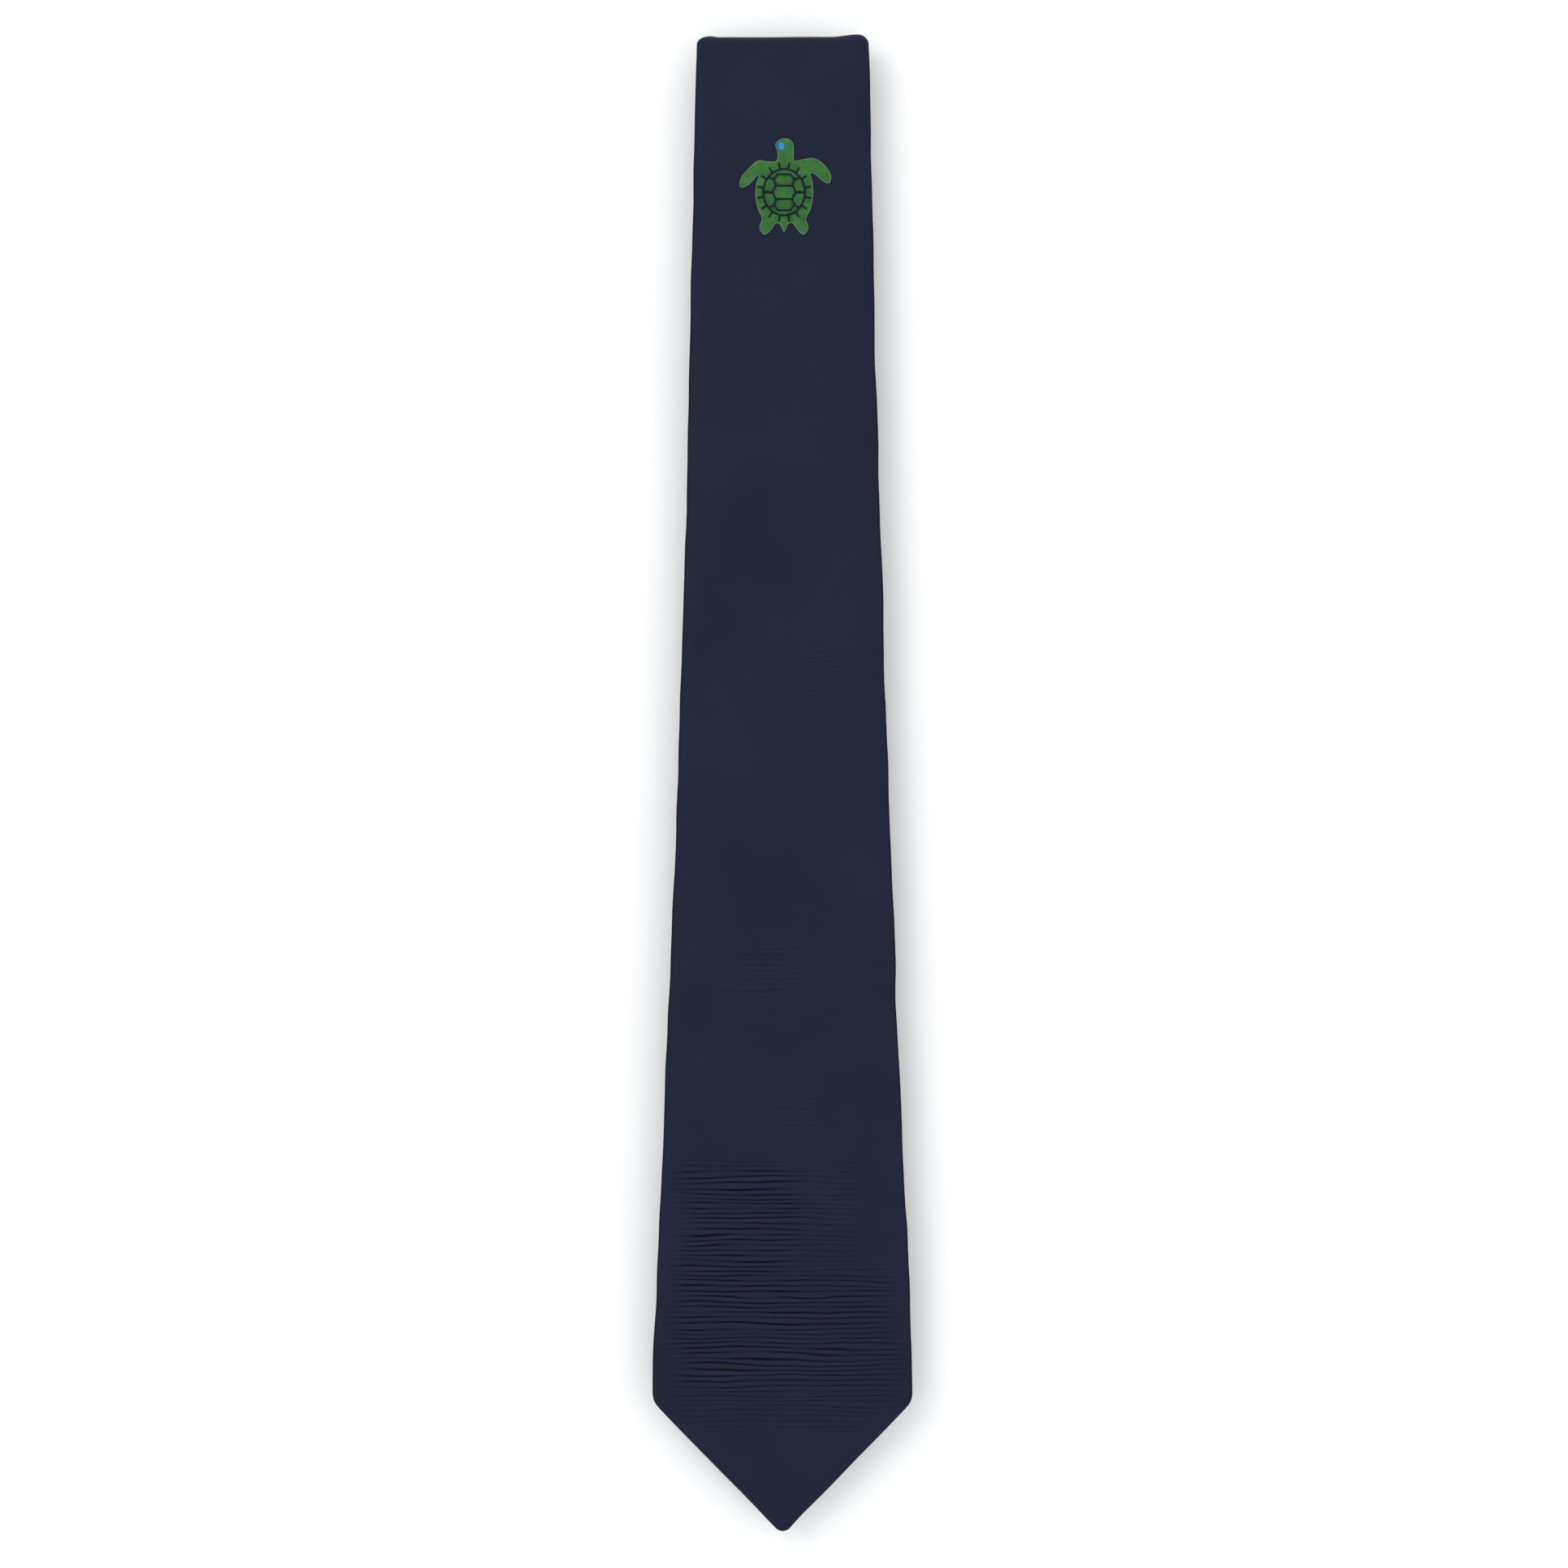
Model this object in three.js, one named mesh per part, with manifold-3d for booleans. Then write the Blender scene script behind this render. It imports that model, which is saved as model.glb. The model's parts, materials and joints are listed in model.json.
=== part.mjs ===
// A classic silk necktie, laid flat and folded back on itself in four layers: the wide front blade
// lies on top, the two neck layers under it, and the narrow tail at the bottom.
// Millimetres. +X runs across the blade, +Y from its point to the top fold, +Z up.
// The origin is under the middle of the object, on the surface that it lies on.

import * as THREE from "three";
import { mergeVertices } from "three/addons/utils/BufferGeometryUtils.js";
import Module from "manifold-3d";

const wasm = await Module();
wasm.setup();

// ---------------------------------------------------------------- driving dimensions

const TIE_LENGTH = 1480; // point of the blade to point of the tail, measured along the tie
const FOLDED_LENGTH = 461; // point of the blade to the edge of the top fold
const CLOTH = 0.5; // doubled silk and its turnings
const LINING = 0.3; // silk lining of the two points
const INTERLINING = 1.2; // brushed wool canvas
const CLEAR = 0.3; // play between pieces that touch
const END_GAP = CLEAR / 2; // taken off each end of a piece that meets the next one
const LAYER = 2 * (CLOTH + CLEAR) + INTERLINING; // one thickness of the flat tie
const LOOP_SPACE = 2.1; // between the blade and the neck, where the keeper loop lies
const NECK_SPACE = 0.9; // between the lower layers
const LOWER_FOLD_INSET = 84; // the lower fold lies this far inside the point of the blade
const TAIL_FOLD_INSET = 3; // the tail fold lies this far inside the top fold
const TIP_SOLID = 4; // the cloth is folded solid this far into each point
const SEAM_HALF = 0.8; // half the slot between the two back flaps
const ARC_STEPS = 8; // facets round a half turn of a fold
const SIDE_STEPS = 4; // facets round a rolled edge

// Half widths along the tie: distance from the point of the blade, half width.
const BLADE_SIDE = [
  [0, 1.5],
  [0.95, 2.2],
  [39, 38.9],
  [40.2, 39.7],
  [41.8, 40],
  [54, 40],
  [98, 38],
  [143, 35.9],
  [233, 32.4],
  [323, 29.6],
  [FOLDED_LENGTH, 26.5],
  [600, 21],
  [740, 17.2],
  [820, 16],
  [1010, 16],
  [1160, 18.2],
];
// The same at the other end: distance from the point of the tail, half width.
const TAIL_SIDE = [
  [160, 21.5],
  [60, 22.6],
  [24, 23],
  [22.4, 22.7],
  [21.3, 21.9],
  [0.95, 2.2],
  [0, 1.5],
];
const SIDE = [...BLADE_SIDE, ...TAIL_SIDE.map(([d, half]) => [TIE_LENGTH - d, half])];

// The V-shaped opening between the back flaps at each point: distances from that point.
const BLADE_OPENING = { hem: 16, widest: 44, half: 27, top: 130 };
const TAIL_OPENING = { hem: 11, widest: 27, half: 13, top: 75 };

// ---------------------------------------------------------------- the route of the tie

const fold = [LAYER + LOOP_SPACE, LAYER + NECK_SPACE, LAYER + NECK_SPACE].map((rise) => rise / 2);
const tailZ = LAYER / 2;
const lowerNeckZ = tailZ + 2 * fold[2];
const upperNeckZ = lowerNeckZ + 2 * fold[1];
const bladeZ = upperNeckZ + 2 * fold[0];
const topFoldY = FOLDED_LENGTH - fold[0] - LAYER / 2;
const lowerFoldY = LOWER_FOLD_INSET + fold[1] + LAYER / 2;
const tailFoldY = FOLDED_LENGTH - TAIL_FOLD_INSET - fold[2] - LAYER / 2;

// Each run is a straight layer, or a half turn round the centre of a fold. side is +1 for a run
// towards +Y or a fold that bulges towards +Y, and -1 for the other way.
const runs = [];
function addRun(name, length, start) {
  const from = runs.length ? runs[runs.length - 1].to : 0;
  runs.push({ name, from, to: from + length, ...start });
}
addRun("blade", topFoldY, { side: 1, y: 0, z: bladeZ });
addRun("topFold", Math.PI * fold[0], { side: 1, y: topFoldY, z: bladeZ - fold[0], radius: fold[0] });
addRun("upperNeck", topFoldY - lowerFoldY, { side: -1, y: topFoldY, z: upperNeckZ });
addRun("lowerFold", Math.PI * fold[1], {
  side: -1,
  y: lowerFoldY,
  z: upperNeckZ - fold[1],
  radius: fold[1],
});
addRun("lowerNeck", tailFoldY - lowerFoldY, { side: 1, y: lowerFoldY, z: lowerNeckZ });
addRun("tailFold", Math.PI * fold[2], {
  side: 1,
  y: tailFoldY,
  z: lowerNeckZ - fold[2],
  radius: fold[2],
});
addRun("tail", TIE_LENGTH - runs[runs.length - 1].to, { side: -1, y: tailFoldY, z: tailZ });
const run = Object.fromEntries(runs.map((r) => [r.name, r]));

// Where the middle of the tie runs at a distance from the blade's point, and which way it heads.
function routeAt(distance) {
  const here = runs.find((r) => distance <= r.to) ?? run.tail;
  const along = distance - here.from;
  if (!here.radius) {
    return { y: here.y + here.side * along, z: here.z, heading: here.side > 0 ? 0 : -Math.PI };
  }
  const swing = along / here.radius;
  return {
    y: here.y + here.side * here.radius * Math.sin(swing),
    z: here.z + here.radius * Math.cos(swing),
    heading: here.side > 0 ? -swing : swing - Math.PI,
  };
}

function interpolate(table, at) {
  const next = table.findIndex(([distance]) => distance >= at);
  if (next < 0) return table[table.length - 1][1];
  if (next === 0) return table[0][1];
  const [[a, from], [b, to]] = [table[next - 1], table[next]];
  return from + ((to - from) * (at - a)) / (b - a);
}

const halfWidth = (distance) => interpolate(SIDE, distance);

// ---------------------------------------------------------------- solids

// A ring of points across the tie. An outline is a list of [x, n], with n towards the front face.
// ahead pushes the ring along the tie's own heading.
function ring(distance, outline, ahead = 0) {
  const { y, z, heading } = routeAt(distance);
  const along = [Math.cos(heading), Math.sin(heading)];
  return outline.map(
    ([x, n]) =>
      new THREE.Vector3(
        x,
        y + ahead * along[0] - n * along[1],
        z + ahead * along[1] + n * along[0],
      ),
  );
}

// A closed solid through a list of rings. Each ring is convex and has the same number of points.
function loft(rings) {
  const size = rings[0].length;
  const last = (rings.length - 1) * size;
  const faces = [];
  for (let k = 0; k < rings.length - 1; k += 1) {
    for (let i = 0; i < size; i += 1) {
      const a = k * size + i;
      const b = k * size + ((i + 1) % size);
      faces.push(a, a + size, b + size, a, b + size, b);
    }
  }
  for (let i = 1; i < size - 1; i += 1) {
    faces.push(0, i, i + 1, last, last + i + 1, last + i);
  }
  const geometry = new THREE.BufferGeometry().setFromPoints(rings.flat());
  geometry.setIndex(faces);
  return geometry;
}

// A flat section with rolled edges, going round with n turned from x.
function rolledSection(half, thickness) {
  const radius = thickness / 2;
  const points = [];
  for (const side of [1, -1]) {
    for (let i = 0; i <= SIDE_STEPS; i += 1) {
      const angle = -Math.PI / 2 + (Math.PI * i) / SIDE_STEPS;
      points.push([
        side * (half - radius + radius * Math.cos(angle)),
        side * radius * Math.sin(angle),
      ]);
    }
  }
  return points;
}

function boxSection(left, right, low, high) {
  return [
    [left, low],
    [right, low],
    [right, high],
    [left, high],
  ];
}

// The distances at which a piece from one distance to another needs a ring.
function stations(from, to, extra = []) {
  const bends = runs
    .filter((r) => r.radius)
    .flatMap((r) =>
      Array.from({ length: ARC_STEPS - 1 }, (_, i) => r.from + ((r.to - r.from) * (i + 1)) / ARC_STEPS),
    );
  const inside = [...SIDE.map(([distance]) => distance), ...bends, ...extra];
  const kept = inside.filter((distance) => distance > from + CLEAR && distance < to - CLEAR);
  return [from, ...kept, to].sort((a, b) => a - b);
}

function strip(from, to, sectionAt, { before = 0, after = 0, extra = [] } = {}) {
  const stops = stations(from, to, extra);
  const rings = stops.map((distance) => ring(distance, sectionAt(distance)));
  if (before) rings.unshift(ring(from, sectionAt(from), -before));
  if (after) rings.push(ring(to, sectionAt(to), after));
  return loft(rings);
}

function toSolid(geometry) {
  const bare = geometry.clone();
  bare.deleteAttribute("normal");
  bare.deleteAttribute("uv");
  const merged = mergeVertices(bare);
  return new wasm.Manifold(
    new wasm.Mesh({
      numProp: 3,
      vertProperties: merged.attributes.position.array,
      triVerts: new Uint32Array(merged.index.array),
    }),
  );
}

function toGeometry(solid) {
  const mesh = solid.getMesh();
  const geometry = new THREE.BufferGeometry();
  geometry.setAttribute("position", new THREE.BufferAttribute(mesh.vertProperties, 3));
  geometry.setIndex(new THREE.BufferAttribute(mesh.triVerts, 1));
  geometry.computeVertexNormals();
  return geometry;
}

// Half the gap between the back flaps, at a distance from a point of the tie.
function openingHalf(distance, { hem, widest, half, top }) {
  const outline = [
    [hem, CLEAR],
    [widest, half],
    [top, SEAM_HALF],
  ];
  return interpolate(outline, distance);
}

const fromTail = (distance) => TIE_LENGTH - distance;

function gapBetweenFlaps(distance) {
  if (distance < run.blade.to) return openingHalf(distance, BLADE_OPENING);
  if (distance > run.tail.from) return openingHalf(fromTail(distance), TAIL_OPENING);
  return SEAM_HALF;
}

// The silk tube of one stretch: a front panel, two rolled edges and two back flaps that meet at the
// seam. At a point of the tie the tube is closed, and the flaps part over the lining.
function silkTube(from, to) {
  const bladeEnd = from === 0;
  const tailEnd = to === TIE_LENGTH;
  const flaps = [
    BLADE_OPENING.widest,
    BLADE_OPENING.top,
    fromTail(TAIL_OPENING.widest),
    fromTail(TAIL_OPENING.top),
  ];
  const outside = strip(from, to, (d) => rolledSection(halfWidth(d), LAYER));
  const hollowFrom = bladeEnd ? TIP_SOLID : from;
  const hollowTo = tailEnd ? TIE_LENGTH - TIP_SOLID : to;
  const hollow = strip(
    hollowFrom,
    hollowTo,
    (d) => rolledSection(halfWidth(d) - CLOTH, LAYER - 2 * CLOTH),
    { before: bladeEnd ? 0 : 1, after: tailEnd ? 0 : 1 },
  );
  const slotFrom = bladeEnd ? BLADE_OPENING.hem : from;
  const slotTo = tailEnd ? fromTail(TAIL_OPENING.hem) : to;
  const slot = strip(
    slotFrom,
    slotTo,
    (d) => {
      const half = gapBetweenFlaps(d);
      return boxSection(-half, half, -LAYER / 2 - CLEAR, -LAYER / 2 + 2 * CLOTH);
    },
    { before: bladeEnd ? 0 : 1, after: tailEnd ? 0 : 1, extra: flaps },
  );
  return toSolid(outside).subtract(toSolid(hollow)).subtract(toSolid(slot));
}

// A block that covers a layer on one side of a seam cut on the bias, at 45 degrees to the tie.
function biasBlock(seamY, z, towards) {
  const reach = 60;
  const far = seamY + towards * 1.2 * FOLDED_LENGTH;
  const shape = new THREE.Shape([
    new THREE.Vector2(-reach, seamY - reach),
    new THREE.Vector2(reach, seamY + reach),
    new THREE.Vector2(reach, far),
    new THREE.Vector2(-reach, far),
  ]);
  const block = new THREE.ExtrudeGeometry(shape, { depth: 2 * LAYER, bevelEnabled: false });
  return toSolid(block.translate(0, 0, z - LAYER));
}

// A straight layer of silk in two pieces, joined by a bias seam at a distance along the tie.
function seamedPair(layer, seamAt) {
  const whole = silkTube(layer.from + END_GAP, layer.to - END_GAP);
  const seam = routeAt(seamAt);
  const upper = whole.subtract(biasBlock(seam.y + END_GAP, seam.z, -1));
  const lower = whole.subtract(biasBlock(seam.y - END_GAP, seam.z, 1));
  return layer.side > 0 ? [lower, upper] : [upper, lower];
}

// ---------------------------------------------------------------- materials

const navy = new THREE.Color(0x262a3e);
function cloth(color, roughness = 0.75) {
  return new THREE.MeshStandardMaterial({ color, roughness, metalness: 0 });
}
const silk = () => cloth(navy, 0.6);
const liningSilk = () => cloth(0x1b1f33, 0.45);
const canvas = () => cloth(0xd9d2c2, 0.95);
const navyThread = () => cloth(0x1d2136, 0.6);
const labelSatin = () => cloth(0x22263c, 0.4);
const careSatin = () => cloth(0xe8e6df, 0.45);
const greenThread = () => cloth(0x3c7a3a, 0.6);
const shellThread = () => cloth(0x2e5f33, 0.6);
const eyeThread = () => cloth(0x2f8fff, 0.5);

// ---------------------------------------------------------------- pieces

const stack = new THREE.Group();

function add(name, shape, material) {
  const geometry = shape.isBufferGeometry ? shape : toGeometry(shape);
  const mesh = new THREE.Mesh(geometry, material);
  mesh.name = name;
  stack.add(mesh);
}

// Brushed canvas that fills a stretch of the tube.
function interlining(from, to) {
  const rolledEdge = LAYER / 2 + CLEAR / 2;
  return strip(from, to, (d) => {
    const half = halfWidth(d) - rolledEdge;
    return boxSection(-half, half, -INTERLINING / 2, INTERLINING / 2);
  });
}

// The lining that shows between the back flaps of a point.
function tipping(opening, toDistance) {
  const { hem, widest, top } = opening;
  const [hemPlay, topPlay, sidePlay] = [2, 4, 0.36];
  const low = -LAYER / 2 + (CLOTH - LINING) / 2;
  const stops = [hem + hemPlay, widest, top - topPlay].map(toDistance).sort((a, b) => a - b);
  const rings = stops.map((d) => {
    const half = gapBetweenFlaps(d) - sidePlay;
    return ring(d, boxSection(-half, half, low, low + LINING));
  });
  return loft(rings);
}

// The hand-sewn thread that closes the back seam, lying in the slot between the flaps.
function slipStitch(from, to) {
  const STITCH = 6;
  const SWAY = 0.2;
  const HALF_THREAD = 0.2;
  const low = -LAYER / 2 + 0.1;
  const count = Math.floor((to - from) / STITCH);
  const rings = Array.from({ length: count + 1 }, (_, i) => {
    const x = i % 2 ? SWAY : -SWAY;
    return ring(from + i * STITCH, boxSection(x - HALF_THREAD, x + HALF_THREAD, low, low + CLEAR));
  });
  return loft(rings);
}

// A flat plate on the back of the tie: x and distance ranges, and how far it stands off the back.
function backPlate(halfX, from, to, off, thickness, x = 0) {
  const high = -LAYER / 2 - off;
  return strip(from, to, () => boxSection(x - halfX, x + halfX, high - thickness, high));
}

// The self-fabric loop that holds the tail: its ends lie on the back, its middle stands off.
const KEEPER = { from: 206, width: 14, half: 24, foot: 5, stand: 1.2, thick: 0.5 };
function keeperLoop() {
  const { half, foot, stand, thick } = KEEPER;
  const ramp = 3;
  const low = -LAYER / 2 - CLEAR;
  const high = -LAYER / 2 - stand;
  const shape = new THREE.Shape(
    [
      [-half, low],
      [-half, low - thick],
      [foot - half, low - thick],
      [foot + ramp - half, high - thick],
      [half - foot - ramp, high - thick],
      [half - foot, low - thick],
      [half, low - thick],
      [half, low],
      [half - foot, low],
      [half - foot - ramp, high],
      [foot + ramp - half, high],
      [foot - half, low],
    ].map(([x, n]) => new THREE.Vector2(x, n)),
  );
  const loop = new THREE.ExtrudeGeometry(shape, { depth: KEEPER.width, bevelEnabled: false });
  return loop.rotateX(Math.PI / 2).translate(0, KEEPER.from + KEEPER.width, bladeZ);
}

function keeperStitch(side) {
  const inset = KEEPER.foot / 2;
  const off = 2 * CLEAR + KEEPER.thick;
  const x = side * (KEEPER.half - inset);
  return backPlate(CLEAR, KEEPER.from + 1, KEEPER.from + KEEPER.width - 1, off, CLEAR, x);
}

// The embroidered turtle on the front of the blade. Coordinates are from the middle of its shell,
// +X to the right and +Y towards its head.
const TURTLE = { x: 0.4, fromTopFold: 48.4, thick: 0.3, rim: 0.3 };
const SHELL_HALF = [7.4, 8.2];
const EYE = { x: -0.9, y: 14.2, r: 0.9 };
const TURTLE_OUTLINE = [
  [0, -12],
  [1, -9.8],
  [2.6, -9.3],
  [4.2, -11.4],
  [6, -12.8],
  [7.3, -10.8],
  [6.6, -8],
  [8, -5],
  [8.8, -0.5],
  [8.5, 3.5],
  [7.9, 6],
  [9.4, 5.8],
  [11.8, 3.8],
  [13.7, 2.9],
  [14.3, 5],
  [12.6, 8],
  [9.4, 10.3],
  [6.2, 10.1],
  [3.1, 9.6],
  [2.8, 12.4],
  [2.6, 15],
  [1.2, 16.3],
  [-1, 16.2],
  [-2.5, 14.8],
  [-1.9, 12.8],
  [-1.8, 10.8],
  [-2.6, 9.4],
  [-5.2, 9.4],
  [-8, 9.6],
  [-11, 7],
  [-13.2, 4.2],
  [-13.3, 1.7],
  [-11, 2.5],
  [-8.6, 5],
  [-7.6, 5.2],
  [-8.4, 2.5],
  [-8.7, -1],
  [-7.9, -5],
  [-6.7, -8],
  [-7.4, -10.8],
  [-6.1, -12.8],
  [-4.3, -11.6],
  [-2.6, -9.4],
  [-1, -9.8],
];

function ellipse(x, y, rx, ry) {
  return new THREE.Path().absellipse(x, y, rx, ry, 0, 2 * Math.PI);
}

function motifPlate(shape, curveSegments = 16) {
  const settings = { depth: TURTLE.thick, bevelEnabled: false, curveSegments };
  const z = bladeZ + LAYER / 2 + CLEAR;
  const y = FOLDED_LENGTH - TURTLE.fromTopFold;
  return new THREE.ExtrudeGeometry(shape, settings).translate(TURTLE.x, y, z);
}

function turtleBody() {
  const shape = new THREE.Shape(TURTLE_OUTLINE.map(([x, y]) => new THREE.Vector2(x, y)));
  const [rx, ry] = SHELL_HALF;
  shape.holes.push(ellipse(0, 0, rx + TURTLE.rim, ry + TURTLE.rim));
  shape.holes.push(ellipse(EYE.x, EYE.y, EYE.r + TURTLE.rim, EYE.r + TURTLE.rim));
  return motifPlate(shape);
}

function motifOval(x, y, rx, ry) {
  return motifPlate(new THREE.Shape(ellipse(x, y, rx, ry).getPoints(16)));
}

// ---------------------------------------------------------------- assembly

const { blade, topFold, upperNeck, lowerFold, lowerNeck, tailFold, tail } = run;
const UPPER_SEAM = 700; // where the blade's silk is sewn to the gusset
const LOWER_SEAM = 1030; // where the gusset is sewn to the tail's silk
const STITCH_END = 6; // the seam thread stops this far from a fold

// front blade
add("blade_shell", silkTube(0, blade.to - END_GAP), silk());
add("blade_interlining", interlining(TIP_SOLID + 1, blade.to - END_GAP), canvas());
add("blade_tipping", tipping(BLADE_OPENING, (d) => d), liningSilk());
const bladeStitchFrom = BLADE_OPENING.top + STITCH_END;
add("blade_slip_stitch", slipStitch(bladeStitchFrom, blade.to - STITCH_END), navyThread());
const BLADE_TACK = { from: BLADE_OPENING.top + 1, width: 1.4, half: 3.5 };
const bladeTackTo = BLADE_TACK.from + BLADE_TACK.width;
const bladeTack = backPlate(BLADE_TACK.half, BLADE_TACK.from, bladeTackTo, CLEAR, CLOTH);
add("blade_bar_tack", bladeTack, navyThread());
add("keeper_loop", keeperLoop(), silk());
add("keeper_stitch_left", keeperStitch(-1), navyThread());
add("keeper_stitch_right", keeperStitch(1), navyThread());
const LABEL = { from: 238, to: 262, half: 21, stitchInset: 1.2, stitchHalf: 0.25 };
const stitchOff = 2 * CLEAR + LINING;
add("woven_label", backPlate(LABEL.half, LABEL.from, LABEL.to, CLEAR, LINING), labelSatin());
for (const [side, name] of [
  [-1, "left"],
  [1, "right"],
]) {
  const x = side * (LABEL.half - LABEL.stitchInset);
  const line = backPlate(LABEL.stitchHalf, LABEL.from + 1, LABEL.to - 1, stitchOff, CLEAR, x);
  add(`label_stitch_${name}`, line, navyThread());
}
const CARE = { from: 268, to: 300, half: 9 };
add("care_label", backPlate(CARE.half, CARE.from, CARE.to, CLEAR, LINING), careSatin());
const careStitch = backPlate(CARE.half - 1, CARE.from + 1.5, CARE.from + 2, stitchOff, CLEAR);
add("care_label_stitch", careStitch, careSatin());
add("turtle_body", turtleBody(), greenThread());
add("turtle_carapace", motifOval(0, 0, ...SHELL_HALF), shellThread());
add("turtle_eye", motifOval(EYE.x, EYE.y, EYE.r, EYE.r), eyeThread());

// top fold
add("top_fold_silk", silkTube(topFold.from + END_GAP, topFold.to - END_GAP), silk());
add("top_fold_interlining", interlining(topFold.from + END_GAP, topFold.to - END_GAP), canvas());

// upper neck layer, front face down
const [bladeNeckEnd, gussetUpper] = seamedPair(upperNeck, UPPER_SEAM);
add("blade_silk_neck_end", bladeNeckEnd, silk());
add("gusset_silk_upper", gussetUpper, silk());
add(
  "upper_neck_interlining",
  interlining(upperNeck.from + END_GAP, upperNeck.to - END_GAP),
  canvas(),
);
add(
  "upper_neck_slip_stitch",
  slipStitch(upperNeck.from + STITCH_END, upperNeck.to - STITCH_END),
  navyThread(),
);

// lower fold
add("lower_fold_silk", silkTube(lowerFold.from + END_GAP, lowerFold.to - END_GAP), silk());
add(
  "lower_fold_interlining",
  interlining(lowerFold.from + END_GAP, lowerFold.to - END_GAP),
  canvas(),
);

// lower neck layer, front face up
const [gussetLower, tailNeckEnd] = seamedPair(lowerNeck, LOWER_SEAM);
add("gusset_silk_lower", gussetLower, silk());
add("tail_silk_neck_end", tailNeckEnd, silk());
add(
  "lower_neck_interlining",
  interlining(lowerNeck.from + END_GAP, lowerNeck.to - END_GAP),
  canvas(),
);
add(
  "lower_neck_slip_stitch",
  slipStitch(lowerNeck.from + STITCH_END, lowerNeck.to - STITCH_END),
  navyThread(),
);

// tail fold
add("tail_fold_silk", silkTube(tailFold.from + END_GAP, tailFold.to - END_GAP), silk());
add("tail_fold_interlining", interlining(tailFold.from + END_GAP, tailFold.to - END_GAP), canvas());

// tail, front face down
add("tail_shell", silkTube(tail.from + END_GAP, TIE_LENGTH), silk());
add("tail_interlining", interlining(tail.from + END_GAP, TIE_LENGTH - TIP_SOLID - 1), canvas());
add("tail_tipping", tipping(TAIL_OPENING, fromTail), liningSilk());
const tailStitchTo = fromTail(TAIL_OPENING.top + STITCH_END);
add("tail_slip_stitch", slipStitch(tail.from + STITCH_END, tailStitchTo), navyThread());
const TAIL_TACK = { from: fromTail(TAIL_OPENING.top + 2.2), width: 1.2, half: 2.5 };
const tailTackTo = TAIL_TACK.from + TAIL_TACK.width;
const tailTack = backPlate(TAIL_TACK.half, TAIL_TACK.from, tailTackTo, LINING, LINING);
add("tail_bar_tack", tailTack, navyThread());

const group = new THREE.Group();
group.add(stack);
group.updateMatrixWorld(true);
const bounds = new THREE.Box3().setFromObject(group, true);
const middle = bounds.getCenter(new THREE.Vector3());
stack.position.set(0, -middle.y, -bounds.min.z);

export default group;
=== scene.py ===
import json
import math

import bpy
import numpy as np
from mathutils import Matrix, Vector
from mathutils.geometry import delaunay_2d_cdt


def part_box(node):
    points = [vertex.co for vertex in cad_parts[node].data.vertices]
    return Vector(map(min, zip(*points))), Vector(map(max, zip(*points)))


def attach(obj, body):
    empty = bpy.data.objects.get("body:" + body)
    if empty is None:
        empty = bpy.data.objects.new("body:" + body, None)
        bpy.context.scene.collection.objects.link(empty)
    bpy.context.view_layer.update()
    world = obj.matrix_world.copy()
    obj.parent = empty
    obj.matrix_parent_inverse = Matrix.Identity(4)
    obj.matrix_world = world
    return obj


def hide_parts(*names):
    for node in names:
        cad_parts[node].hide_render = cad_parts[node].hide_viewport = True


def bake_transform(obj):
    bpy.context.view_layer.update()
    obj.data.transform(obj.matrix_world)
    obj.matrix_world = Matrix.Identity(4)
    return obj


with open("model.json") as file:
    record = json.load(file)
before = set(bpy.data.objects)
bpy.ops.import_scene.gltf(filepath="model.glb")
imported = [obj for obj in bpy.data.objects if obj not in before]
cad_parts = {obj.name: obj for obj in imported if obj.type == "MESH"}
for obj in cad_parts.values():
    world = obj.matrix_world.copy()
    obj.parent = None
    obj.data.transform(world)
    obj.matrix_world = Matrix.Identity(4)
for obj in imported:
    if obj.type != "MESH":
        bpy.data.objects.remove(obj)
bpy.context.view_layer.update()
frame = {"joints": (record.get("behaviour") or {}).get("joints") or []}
MM = 0.001

# ---------------------------------------------------------------- camera and stage

LENS = 100
SENSOR = 36
CAMERA_HEIGHT = 1.3562
CAMERA_X = 0.000375

scene = bpy.context.scene
scene.view_settings.view_transform = "Standard"

camera_data = bpy.data.cameras.new("camera")
camera_data.lens = LENS
camera_data.sensor_width = SENSOR
camera_data.clip_start = 0.01
camera = bpy.data.objects.new("camera", camera_data)
camera.location = (CAMERA_X, 0, CAMERA_HEIGHT)
scene.collection.objects.link(camera)
scene.camera = camera

WORLD_STRENGTH = 1.0
world = bpy.data.worlds.new("studio")
world.use_nodes = True
sky = world.node_tree.nodes["Background"]
sky.inputs["Color"].default_value = (0.98, 0.99, 1.0, 1)
sky.inputs["Strength"].default_value = WORLD_STRENGTH
scene.world = world


def softbox(name, place, size, watts):
    data = bpy.data.lights.new(name, "AREA")
    data.shape = "SQUARE"
    data.size = size
    data.energy = watts
    light = bpy.data.objects.new(name, data)
    light.location = place
    light.rotation_euler = (-Vector(place)).to_track_quat("-Z", "Y").to_euler()
    scene.collection.objects.link(light)
    return light


softbox("key_light", (-1.0, 0.8, 1.7), size=1.2, watts=10)
softbox("fill_light", (1.1, -0.3, 1.6), size=1.4, watts=2.5)

# ---------------------------------------------------------------- small tools


def ripple(x, y, seed, size, count=6):
    """A smooth, repeatable unevenness of about -1 to 1, with waves about as long as size."""
    rng = np.random.default_rng(seed)
    total = 0
    for _ in range(count):
        angle = rng.uniform(0, math.pi)
        length = size * rng.uniform(0.7, 1.7)
        phase = rng.uniform(0, 2 * math.pi)
        total = total + np.sin(2 * math.pi * (x * math.cos(angle) + y * math.sin(angle)) / length + phase)
    return total / count**0.5 / 1.4


def smooth(low, high, value):
    """0 up to low, 1 from high on, and a soft step between them."""
    t = np.clip((value - low) / (high - low), 0, 1)
    return t * t * (3 - 2 * t)


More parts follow.
